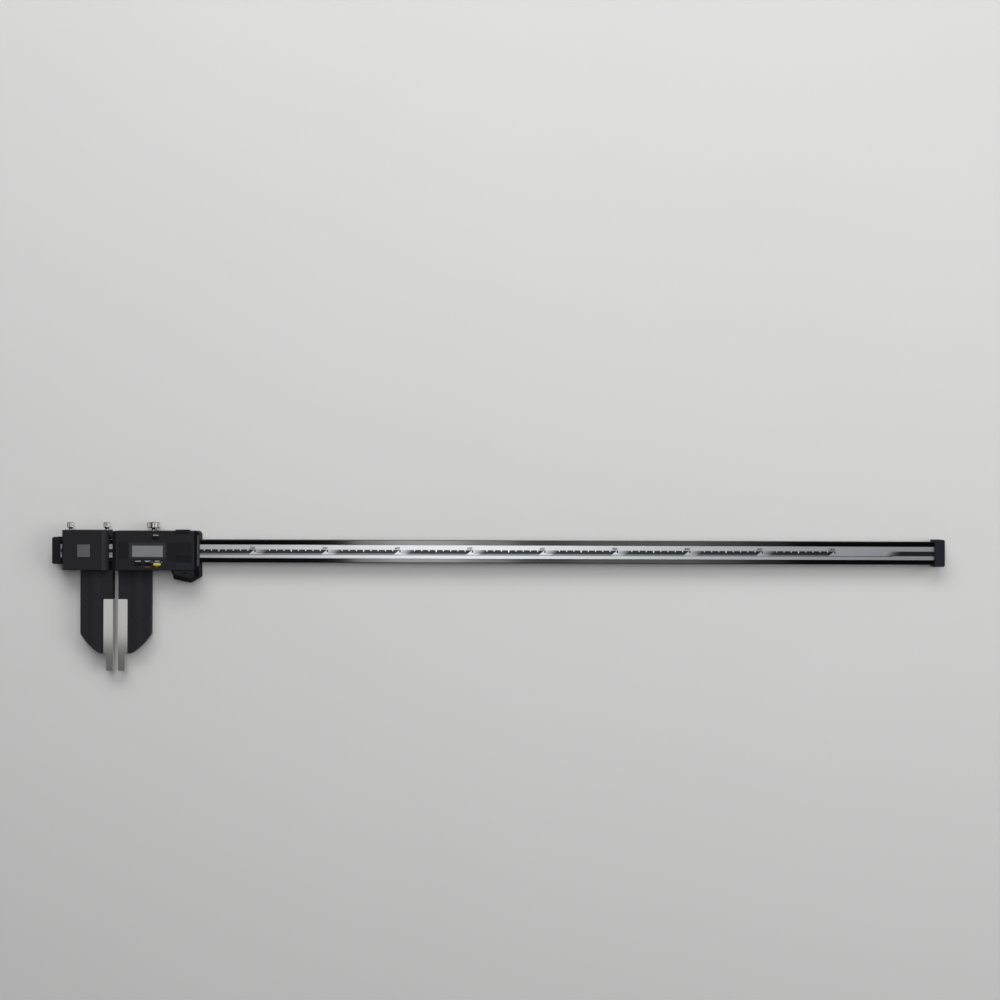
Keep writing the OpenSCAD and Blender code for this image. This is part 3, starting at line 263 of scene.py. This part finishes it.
# %% Coated alloy and moulded plastic
def coated(name, colour, roughness, scale, depth, specular=0.5, drift=0.25):
    """A fine grained coat: colour and gloss drift a little, and the grain is a low bump."""
    shader, here = finish(name, colour, roughness, specular=specular)
    cloud = grain(here, 25.0, 3.0)
    fine = grain(here, scale, 3.0)
    paint(shader, cloud * 0.5 + fine * 0.5, scaled(colour, 1 - drift), scaled(colour, 1 + drift))
    fine.feed(shader.inputs["Roughness"], fine * 0.12 + (roughness - 0.06))
    bump(shader, fine, 0.25, depth)


coated("coated_alloy", (0.012, 0.0115, 0.0135), 0.5, 1800.0, 0.00006, specular=0.1)
coated("moulded_black", (0.0085, 0.0085, 0.0105), 0.55, 1200.0, 0.00012, specular=0.1)
coated("moulded_grey", (0.0125, 0.0125, 0.0165), 0.55, 1200.0, 0.00012, specular=0.1)
coated("housing_black", (0.0145, 0.014, 0.016), 0.5, 1400.0, 0.0001, specular=0.1)
coated("panel_black", (0.0095, 0.009, 0.0112), 0.45, 2200.0, 0.00003, specular=0.1)
coated("bezel_grey", (0.028, 0.028, 0.031), 0.45, 1600.0, 0.00005, specular=0.1)
coated("key_rubber", (0.0012, 0.0012, 0.0014), 0.35, 1500.0, 0.00005, specular=0.15)
coated("key_yellow", (0.5, 0.46, 0.045), 0.45, 1500.0, 0.00004, specular=0.3, drift=0.06)
coated("felt_black", (0.006, 0.006, 0.006), 0.95, 900.0, 0.0004, specular=0.1)
print("coats and mouldings:", len(finishes))

# %% [markdown]
# Three mouldings aren't one colour all over, because light and shade are painted into them. The ramp of the
# battery lid and the sloped grips of the thumb rest are painted darker as shade, and the rib of the end
# cover has a painted highlight, with painted shade on all of the cover that lies lower. One coordinate of
# the piece tells where the tone changes, so a comparison with a level is all that is needed. The cover of
# the fixed block has a painted highlight on the bevel at its right, between the front face and the ledge at
# its foot, so it takes two comparisons.


# %% Mouldings with painted light and shade
def painted_light_and_shade(name, below, above, axis, level, roughness):
    """A moulded finish with painted light and shade: one colour below a level of a coordinate and another
    above it.
    """
    shader, here = finish(name, below, roughness, specular=0.05)
    under = axes(here)[axis] < level
    fine = grain(here, 1200.0, 3.0)
    darker_grain = under.mix((*scaled(above, 0.8), 1), (*scaled(below, 0.8), 1))
    lighter_grain = under.mix((*scaled(above, 1.2), 1), (*scaled(below, 1.2), 1))
    fine.feed(shader.inputs["Base Color"], fine.mix(darker_grain, lighter_grain))
    bump(shader, fine, 0.25, 0.0001)


axis_y = 1
axis_z = 2
lid_foot = mid_mm - 15.8
grip_top = front_z - 0.08
rib_foot = front_z - 8.3
# Painted shade: the lid's ramp, above the level, is darker than the rest of the lid.
painted_light_and_shade("lid_painted_shade", (0.0195, 0.0202, 0.0245), (0.0085, 0.0088, 0.0115), axis_y, lid_foot, 0.5)
# Painted shade: the sloped grips of the thumb rest, below its top face, are nearly black.
painted_light_and_shade("rest_painted_shade", (0.0035, 0.0035, 0.0042), (0.0155, 0.0155, 0.018), axis_z, grip_top, 0.6)
# Painted highlight on the end cover's rib, above the level; painted shade on all of the cover that lies
# lower.
painted_light_and_shade("end_cover_painted_light_and_shade", (0.005, 0.005, 0.006), (0.055, 0.055, 0.058), axis_z, rib_foot, 0.5)

# The bevel colour is a painted highlight on the right bevel of the fixed cover; the front colour is the
# coat's own.
cover_front = (0.0165, 0.016, 0.0185)
bevel_painted_highlight = (0.029, 0.0285, 0.033)
bevel_width = 8.0
bevel_height = 6.1
cover_shader, cover_here = finish("cover_alloy_painted_highlight", cover_front, 0.45, specular=0.1)
cover_x, _, cover_z = axes(cover_here)
past_edge = cover_x > cover_high.x - bevel_width
over_ledge = cover_z > cover_high.z - bevel_height
paint(cover_shader, past_edge * over_ledge, cover_front, bevel_painted_highlight)
bump(cover_shader, grain(cover_here, 1800.0, 3.0), 0.25, 0.00005)
print("light-and-shade finishes done, all:", len(finishes))

# %% [markdown]
# Steel that has been ground or lapped shows fine streaks along the direction of work. Noise that is coarse
# along one axis and fine across it gives them. The blades are ground along their length, which is Y here.
# The knurled heads are turned, so their noise is finest along the axis that they turn about.


# %% Metals
def metal(name, colour, roughness, stretch, scale=400.0, streak=0.12, depth=0.00002):
    """Bare metal with streaks along the axes where stretch is small."""
    shader, here = finish(name, colour, roughness, metallic=1.0)
    lines = grain(here, scale, 4.0, stretch)
    paint(shader, lines, scaled(colour, 0.86), colour)
    lines.feed(shader.inputs["Roughness"], lines * streak + (roughness - streak / 2))
    bump(shader, lines, 0.3, depth)


metal("blade_steel", (0.72, 0.715, 0.705), 0.08, (8, 0.1, 8), streak=0.04, depth=0.000004)
metal("knurled_steel", (0.37, 0.36, 0.345), 0.26, (1, 8, 1))
metal("screw_steel", (0.32, 0.32, 0.33), 0.3, (1, 1, 1))
metal("screw_black", (0.008, 0.008, 0.009), 0.45, (1, 1, 1))
metal("bare_alloy", (0.75, 0.75, 0.77), 0.35, (0.2, 3, 3))
metal("brass", (0.75, 0.58, 0.28), 0.32, (0.2, 3, 3))
metal("cell_steel", (0.7, 0.7, 0.71), 0.25, (1, 1, 1))
metal("badge_alloy", (0.2, 0.2, 0.217), 0.36, (0.2, 6, 1))
print("metals:", len(finishes))

# %% [markdown]
# The graduated plate is anodised alloy: pale, slightly blue, and polished just enough to pick up the light
# above it. The window is smoked glass with a thin coat. The encoder strip, the circuit board and the
# display module are only seen when a piece is taken off.

# %% Plate, window and inner pieces
metal("plate_silver", (0.455, 0.47, 0.49), 0.35, (0.05, 6, 1), scale=300.0, streak=0.06)
coated("encoder_film", (0.3, 0.2, 0.08), 0.35, 600.0, 0.00002)
coated("board_green", (0.02, 0.13, 0.05), 0.35, 500.0, 0.00003)
coated("cell_glass", (0.2, 0.205, 0.2), 0.25, 700.0, 0.00001, drift=0.04)
window_dark = (0.185, 0.188, 0.194)
window_light = (0.197, 0.2, 0.206)
window_shader, window_here = finish("window_glass", window_dark, 0.2, coat=0.5, coat_roughness=0.06)
paint(window_shader, grain(window_here, 90.0, 1.0), window_dark, window_light)
print("all finishes:", len(finishes))

# %% [markdown]
# Printing inks lie flat on what carries them. The dark band of the scale, its shade, hairline and notches
# are dyed or cut into the anodised plate, so they still shine like metal, while the numbers and words are
# screened on. Each gets a little mottling.

# %% Inks
band_dark = (0.03, 0.03, 0.033)
band_silver = (0.46, 0.475, 0.495)


def ink(name, colour, roughness=0.55, metallic=0.0):
    """Ink or dye with a faint mottle."""
    shader, here = finish(name, colour, roughness, metallic=metallic, specular=0.3)
    paint(shader, grain(here, 900.0, 2.0), scaled(colour, 0.88), colour)


ink("band_ink", band_dark, 0.36, 1.0)
ink("shade_ink", (0.19, 0.195, 0.21), 0.36, 1.0)
ink("line_ink", (0.06, 0.06, 0.064), 0.36, 1.0)
ink("number_ink", (0.012, 0.012, 0.013))
ink("label_white", (0.6, 0.6, 0.6))
ink("label_orange", (0.3, 0.09, 0.025))
ink("tick_pale", (0.62, 0.635, 0.655), 0.36, 1.0)
print("inks ready, finishes:", len(finishes))

# %% [markdown]
# Each modelled node now takes its finish. A node keeps its shape and its place; only the material in its
# slot changes.

# %% Dress the nodes
wardrobe = {
    "beam_carbon": ["beam"],
    "jaw_carbon": ["fixed_jaw", "slider_jaw"],
    "coated_alloy": ["fixed_frame", "slider_frame"],
    "cover_alloy_painted_highlight": ["fixed_cover"],
    "moulded_black": ["end_cap_left", "slider_back_cover", "data_port_cover"],
    "moulded_grey": ["end_cap_right"],
    "end_cover_painted_light_and_shade": ["slider_end_cover"],
    "rest_painted_shade": ["thumb_rest"],
    "housing_black": ["display_housing"],
    "lid_painted_shade": ["battery_lid"],
    "screw_black": ["thumb_rest_screw"],
    "panel_black": ["display_panel", "data_port", "key_switches"],
    "bezel_grey": ["lcd_bezel"],
    "key_rubber": ["origin_button", "power_button", "preset_button"],
    "key_yellow": ["zero_button"],
    "felt_black": ["wiper_left", "wiper_right"],
    "blade_steel": ["fixed_blade", "slider_blade"],
    "knurled_steel": ["fixed_clamp_screw_left", "fixed_clamp_screw_right", "slider_clamp_screw"],
    "screw_steel": [
        "end_cap_screws",
        "fixed_cover_screws",
        "fixed_jaw_screws",
        "fixed_blade_screws",
        "slider_back_screws",
        "gib_screws",
        "slider_jaw_screws",
        "slider_blade_screws",
        "end_cover_screws",
        "housing_screws",
        "board_screws",
    ],
    "bare_alloy": ["end_plug_left", "end_plug_right"],
    "brass": [
        "fixed_gib",
        "slider_gib",
        "fixed_clamp_pad_left",
        "fixed_clamp_pad_right",
        "slider_clamp_pad",
        "battery_contact",
    ],
    "cell_steel": ["battery"],
    "badge_alloy": ["badge_plate"],
    "plate_silver": ["scale_plate"],
    "encoder_film": ["encoder_strip"],
    "board_green": ["circuit_board", "readhead"],
    "cell_glass": ["lcd_module"],
    "window_glass": ["lcd_window"],
}
for name, nodes in wardrobe.items():
    for node_name in nodes:
        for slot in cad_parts[node_name].material_slots:
            slot.material = finishes[name]
left_over = set(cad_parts) - {n for nodes in wardrobe.values() for n in nodes}
print("dressed:", len(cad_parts) - len(left_over), "left over:", sorted(left_over))

# %% [markdown]
# Prints are thin slabs, a few hundredths of a millimetre thick, on the face that carries them. A slab is
# made from flat outlines: each outline becomes a closed prism, and all the prisms of one ink are one piece.

# %% Slabs from outlines
print_thick = 0.02


def piece(name, mesh, material, body):
    """An object for a finished mesh, on the body it moves with."""
    made = bpy.data.objects.new(name, mesh)
    bpy.context.scene.collection.objects.link(made)
    mesh.materials.append(finishes[material])
    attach(made, body)
    return made


def slabs(name, outlines, z, thick, material, body):
    """Prisms on the outlines, in millimetres, from z up."""
    shape = bmesh.new()
    for outline in outlines:
        low = [shape.verts.new(at(x, y, z)) for x, y in outline]
        high = [shape.verts.new(at(x, y, z + thick)) for x, y in outline]
        shape.faces.new(high)
        shape.faces.new(low[::-1])
        for i in range(len(outline)):
            j = (i + 1) % len(outline)
            shape.faces.new((low[i], low[j], high[j], high[i]))
    bmesh.ops.recalc_face_normals(shape, faces=shape.faces)
    mesh = bpy.data.meshes.new(name)
    shape.to_mesh(mesh)
    shape.free()
    return piece(name, mesh, material, body)


def on_plate(name, outlines, material, thick=print_thick):
    """Slabs on the graduated plate."""
    return slabs(name, outlines, plate_z, thick, material, "beam_unit")


def rectangle(x0, x1, y0, y1):
    """The corners of a rectangle, counter-clockwise."""
    return [(x0, y0), (x1, y0), (x1, y1), (x0, y1)]


print("slab helpers ready")

# %% [markdown]
# The graduation repeats every 100 mm. A dark band starts soft after each hundred and ends in a slanted
# point just before the next one. The printed zero would lie 4 mm to the left of the fixed measuring face,
# under the fixed block, because that jaw can be clamped anywhere and the display gives the reading. So the
# band simply runs on there. After the last hundred comes bare plate and then a dark tail, up to the end cap.

# %% Bands of the graduation
scale_zero = -4.0
hundreds = [scale_zero + 100 * k for k in range(11)]
band_top = 2.3
band_bottom = -2.9
shade_bottom = -4.3
band_start = 17.5
point_gap = 0.6
point_run = 8.0
plate_start = -72.0
plate_end = cap_x - 0.2
tail_gap = 92.5
tail_x = hundreds[-1] + tail_gap


def slant(end, y):
    """Where the slanted end of a band before a hundred lies at a height."""
    return end - point_gap - point_run * (band_top - y) / (band_top - shade_bottom)


bands = []
for start, end in zip(hundreds[:-1], hundreds[1:]):
    x0 = start + band_start
    low_x = slant(end, band_bottom)
    high_x = slant(end, band_top)
    bands.append([(x0, band_bottom), (low_x, band_bottom), (high_x, band_top), (x0, band_top)])
bands.append(rectangle(tail_x, plate_end, shade_bottom, band_top))
bands.append(rectangle(plate_start, hundreds[0] + band_start, band_bottom, band_top))
on_plate("scale_bands", bands, "band_ink")
print("bands:", len(bands))

# %% [markdown]
# The soft start of a band is a gradient from silver to ink along X, leaning like the slanted point. It has
# its own little patches, so that only they need a colour that changes. The one before the tail is longer
# and runs fast at first, then slowly, as a parabola does.

# %% Soft starts
lean = 1.1
fade_start = 1.2
haze_at_hundred = 0.22
haze_per_mm = 0.0464
fade_shader, fade_here = finish("band_fade", band_silver, 0.34, metallic=1.0)
fade_x, fade_y, _ = axes(fade_here)
past_hundred = (fade_x - (face_mm + scale_zero)) % 100.0
haze = (past_hundred - (fade_y - mid_mm) * lean) * haze_per_mm + haze_at_hundred
paint(fade_shader, haze.clamp(), band_silver, band_dark)
starts = [rectangle(h + fade_start, h + band_start, band_bottom, band_top) for h in hundreds[1:-1]]
on_plate("scale_fades", starts, "band_fade")

tail_length = 20.0
tail_lead = 5.0
tail_shader, tail_here = finish("tail_fade", band_silver, 0.34, metallic=1.0)
tail_along, tail_across, _ = axes(tail_here)
past_start = tail_along - (face_mm + tail_x - tail_length)
share = ((past_start - (tail_across - mid_mm) * lean) / tail_length).clamp()
paint(tail_shader, share * (2 - share), band_silver, band_dark)
tail_patch = rectangle(tail_x - tail_length - tail_lead, tail_x, shade_bottom, band_top)
on_plate("scale_tail_fade", [tail_patch], "tail_fade")
print("soft starts:", len(starts) + 1)

# %% [markdown]
# Under each band a paler shade ends at a hairline that runs on to the tail. Notches every 10 mm cut into a
# band's upper edge, the one at 50 deeper and wider. They are bright metal again, so they are slabs of their
# own that lie just over the ink.

# %% Shade, hairline, notches and hundred marks
shade_start = 6.0
shade_shoulder = 12.0
shades = []
for start, end in zip(hundreds[:-1], hundreds[1:]):
    low_edge = [(start + shade_start, shade_bottom), (slant(end, shade_bottom), shade_bottom)]
    high_edge = [(slant(end, band_bottom), band_bottom), (start + shade_shoulder, band_bottom)]
    shades.append(low_edge + high_edge)
on_plate("scale_shades", shades, "shade_ink")

line_top = shade_bottom - 0.05
line_width = 0.8
line_thick = 0.015
line_end = tail_x - 12
hairline = [rectangle(plate_start, line_end, line_top - line_width, line_top)]
on_plate("scale_hairline", hairline, "line_ink", line_thick)

notch_thick = 0.035
notch_top = band_top + 0.05
plain_notch = {"top": 0.9, "foot": 0.35, "depth": 2.0}
middle_notch = {"top": 1.1, "foot": 0.5, "depth": 2.9}
notches = []
for start in hundreds[:-1]:
    for step in range(2, 10):
        x = start + 10 * step
        notch = middle_notch if step == 5 else plain_notch
        foot_y = band_top - notch["depth"]
        foot = [(x - notch["foot"], foot_y), (x + notch["foot"], foot_y)]
        mouth = [(x + notch["top"], notch_top), (x - notch["top"], notch_top)]
        notches.append(foot + mouth)
on_plate("scale_notches", notches, "tick_pale", notch_thick)

mark_half = 0.95
mark_foot = -1.2
marks = [rectangle(h - mark_half, h + mark_half, mark_foot, band_top) for h in hundreds[1:]]
on_plate("scale_marks", marks, "number_ink")
print("notches:", len(notches), "marks:", len(marks))

# %% [markdown]
# Numbers come from Blender's own lettering. Each text is turned into a mesh at once, so that all numbers
# of the scale are one piece, and the slope of the italics is the curve's shear. A style keeps what all the
# words of a piece share: their height, slope and weight.

# %% Lettering
capital_share = 0.7


def lettering(word, widen, style):
    """Vertices and faces of a word, centred on its middle, in millimetres."""
    curve = bpy.data.curves.new("word", "FONT")
    curve.body = word
    curve.size = style["height"] / capital_share
    curve.shear = style["slope"]
    curve.offset = style["weight"]
    curve.align_x = "CENTER"
    curve.align_y = "CENTER"
    curve.resolution_u = 3
    holder = bpy.data.objects.new("word", curve)
    bpy.context.scene.collection.objects.link(holder)
    bpy.context.view_layer.update()
    flat = bpy.data.meshes.new_from_object(holder.evaluated_get(bpy.context.evaluated_depsgraph_get()))
    corners = [(v.co.x * widen, v.co.y) for v in flat.vertices]
    faces = [tuple(p.vertices) for p in flat.polygons]
    bpy.data.objects.remove(holder)
    bpy.data.meshes.remove(flat)
    bpy.data.curves.remove(curve)
    return corners, faces


def written(name, words, style, z, material, body):
    """One piece from several words: each is the word, the place of its middle and its width."""
    shape = bmesh.new()
    for word, x, y, widen in words:
        corners, faces = lettering(word, widen, style)
        verts = [shape.verts.new(at(x + u, y + v, z + print_thick)) for u, v in corners]
        for face in faces:
            shape.faces.new([verts[i] for i in face])
    for face in shape.faces:
        if face.normal.z < 0:
            face.normal_flip()
    mesh = bpy.data.meshes.new(name)
    shape.to_mesh(mesh)
    shape.free()
    return piece(name, mesh, material, body)


number_style = {"height": 3.0, "slope": 0.25, "weight": 0.12}
number_y = 4.3
number_back = 4.2
four_digits_back = 4.8
number_wide = 1.1
numbers = []
for k, x in enumerate(hundreds[1:], start=1):
    back = four_digits_back if k == 10 else number_back
    numbers.append((str(100 * k), x - back, number_y, number_wide))
written("scale_numbers", numbers, number_style, plate_z, "number_ink", "beam_unit")
print("numbers:", len(numbers))

# %% [markdown]
# Small words tell what the keys do. They are plain ones that any such gauge could carry: white over each
# key, orange under two of them for their second function.

# %% Words beside the keys
key_style = {"height": 1.5, "slope": 0.0, "weight": 0.03}
origin_x = 61.7
power_x = 37.5
preset_x = 50.6
zero_x = 63.5
over_origin = 21.6
over_keys = -14.1
under_keys = -21.9
white_words = [
    ("ORIGIN", origin_x, over_origin, 1.0),
    ("ON/OFF", power_x, over_keys, 1.0),
    ("PRESET", preset_x, over_keys, 1.1),
    ("ZERO", zero_x, over_keys, 1.2),
]
orange_words = [("OFFSET", preset_x, under_keys, 1.05), ("SET", zero_x, under_keys, 1.1)]
written("key_words_white", white_words, key_style, front_z, "label_white", "slider")
written("key_words_orange", orange_words, key_style, front_z, "label_orange", "slider")


def disc(x, y, radius, corners=12):
    """The corners of a small round dot."""
    turns = [2 * math.pi * i / corners for i in range(corners)]
    return [(x + radius * math.cos(turn), y + radius * math.sin(turn)) for turn in turns]


dot_y = -15.2
dot_radius = 0.45
preset_dot_x = preset_x + 6.0
zero_dot_x = zero_x + 6.4
dots = [disc(x, dot_y, dot_radius) for x in (preset_dot_x, zero_dot_x)]
slabs("key_dots", dots, front_z, print_thick, "label_white", "slider")
print("words:", len(white_words) + len(orange_words), "dots:", len(dots))

# %% [markdown]
# The floor is a plain pale sheet under the whole tool. It is stage, not part of the caliper. It needs no
# texture, but a trace of unevenness keeps it from looking like paint in close views.

# %% Floor
floor_shader, floor_here = finish("floor_pale", (0.62, 0.62, 0.615), 0.9, specular=0.1)
paint(floor_shader, grain(floor_here, 3.0, 2.0), (0.61, 0.61, 0.605), (0.63, 0.63, 0.625))
floor_half = 3.0
floor_drop = 0.0002
shape = bmesh.new()
for x, y in rectangle(-floor_half, floor_half, -floor_half, floor_half):
    shape.verts.new((x, y, -floor_drop))
shape.faces.new(shape.verts)
floor_mesh = bpy.data.meshes.new("floor")
shape.to_mesh(floor_mesh)
shape.free()
floor_mesh.materials.append(finishes["floor_pale"])
floor = bpy.data.objects.new("floor", floor_mesh)
bpy.context.scene.collection.objects.link(floor)
print("floor", floor_half * 2, "m across")

# %% [markdown]
# The room is a photographer's: pale walls at the horizon and a dark ceiling. The polished beam mirrors that
# ceiling, so it is black wherever nothing bright hangs there.

# %% Room
scene = bpy.context.scene
world = bpy.data.worlds.new("room")
world.use_nodes = True
scene.world = world
wall_top = 0.7
wall_foot = 0.12
direction = Wire(world.node_tree).node("ShaderNodeTexCoord", out=0)
up = direction.node("ShaderNodeSeparateXYZ", {}, {0: direction}, out=2)
wall = 1 - up.smooth(wall_foot, wall_top)
background = world.node_tree.nodes["Background"]
wall.feed(background.inputs["Color"], wall.mix((0.03, 0.03, 0.032, 1), (0.42, 0.42, 0.43, 1)))
background.inputs["Strength"].default_value = 1.0
print("room:", world.name)

# %% [markdown]
# A cloth hangs high over the tool and is lit from behind, brightest left of the middle. The beam shows it
# as a soft bright stretch. It is made of strips side by side, each with its own strength, as lamps that
# overlap would hide one another. Left of it, a dimmer lamp lights the plate's left end, and two more are
# what the steel blades mirror. Two large ones at the sides light the floor and the dark faces.


# %% Lamps
def soft_light(name, place, aim, width, depth, power):
    """A rectangular lamp that looks at a point. Places and sizes are in metres, the power in watts."""
    lamp = bpy.data.lights.new(name, "AREA")
    lamp.shape = "RECTANGLE"
    lamp.size = width
    lamp.size_y = depth
    lamp.energy = power
    holder = bpy.data.objects.new(name, lamp)
    scene.collection.objects.link(holder)
    holder.location = place
    holder.rotation_euler = (Vector(aim) - Vector(place)).to_track_quat("-Z", "Y").to_euler()
    return holder


def overhead(name, x0, x1, y0, y1, power):
    """A lamp over the tool that looks straight down, from its edges."""
    place = ((x0 + x1) / 2, (y0 + y1) / 2, lamp_height)
    return soft_light(name, place, (place[0], place[1], 0), x1 - x0, y1 - y0, power)


lamp_height = 2.6
cloth_y0 = -0.23
cloth_y1 = 1.47
cloth_edges = [-0.43, -0.33, -0.1, 0.04, 0.22, 0.6, 0.72, 0.84]
cloth_levels = [15, 23, 14, 4.3, 6.2, 4, 1.5]
lamps = []
for x0, x1, level in zip(cloth_edges[:-1], cloth_edges[1:], cloth_levels):
    power = level * (x1 - x0) * (cloth_y1 - cloth_y0)
    lamps.append(overhead("cloth", x0, x1, cloth_y0, cloth_y1, power))
lamps.append(overhead("fill", -1.2, -0.7, 0.3, 0.8, power=1.5))
lamps.append(overhead("blades", -1.45, -0.95, -0.2875, -0.0725, power=0.22))
lamps.append(overhead("nibs", -1.5, -0.9, -0.79, -0.29, power=0.115))
lamps.append(soft_light("top", (-0.3, 2.3, 2.0), (-0.1, 0, 0), width=3.2, depth=1.4, power=61))
lamps.append(soft_light("side", (2.7, 0.4, 2.0), (-0.2, 0, 0), width=2.0, depth=1.8, power=44))
print("lamps:", [lamp.name for lamp in lamps])

# %% [markdown]
# The camera looks straight down from 2.3 m over the middle of the picture with a 60 mm lens, turned by a
# fifth of a degree, as the photograph is.

# %% Camera
picture_x = 533.8
picture_y = 71.6
camera_height = 2321
camera_turn = 0.19
camera = bpy.data.cameras.new("camera")
camera.lens = 60.0
camera.sensor_width = 36.0
eye = bpy.data.objects.new("camera", camera)
scene.collection.objects.link(eye)
eye.location = at(picture_x, picture_y, camera_height)
eye.rotation_euler = (0, 0, math.radians(camera_turn))
scene.camera = eye
scene.view_settings.view_transform = "Standard"
print("camera at", [round(c, 3) for c in eye.location])
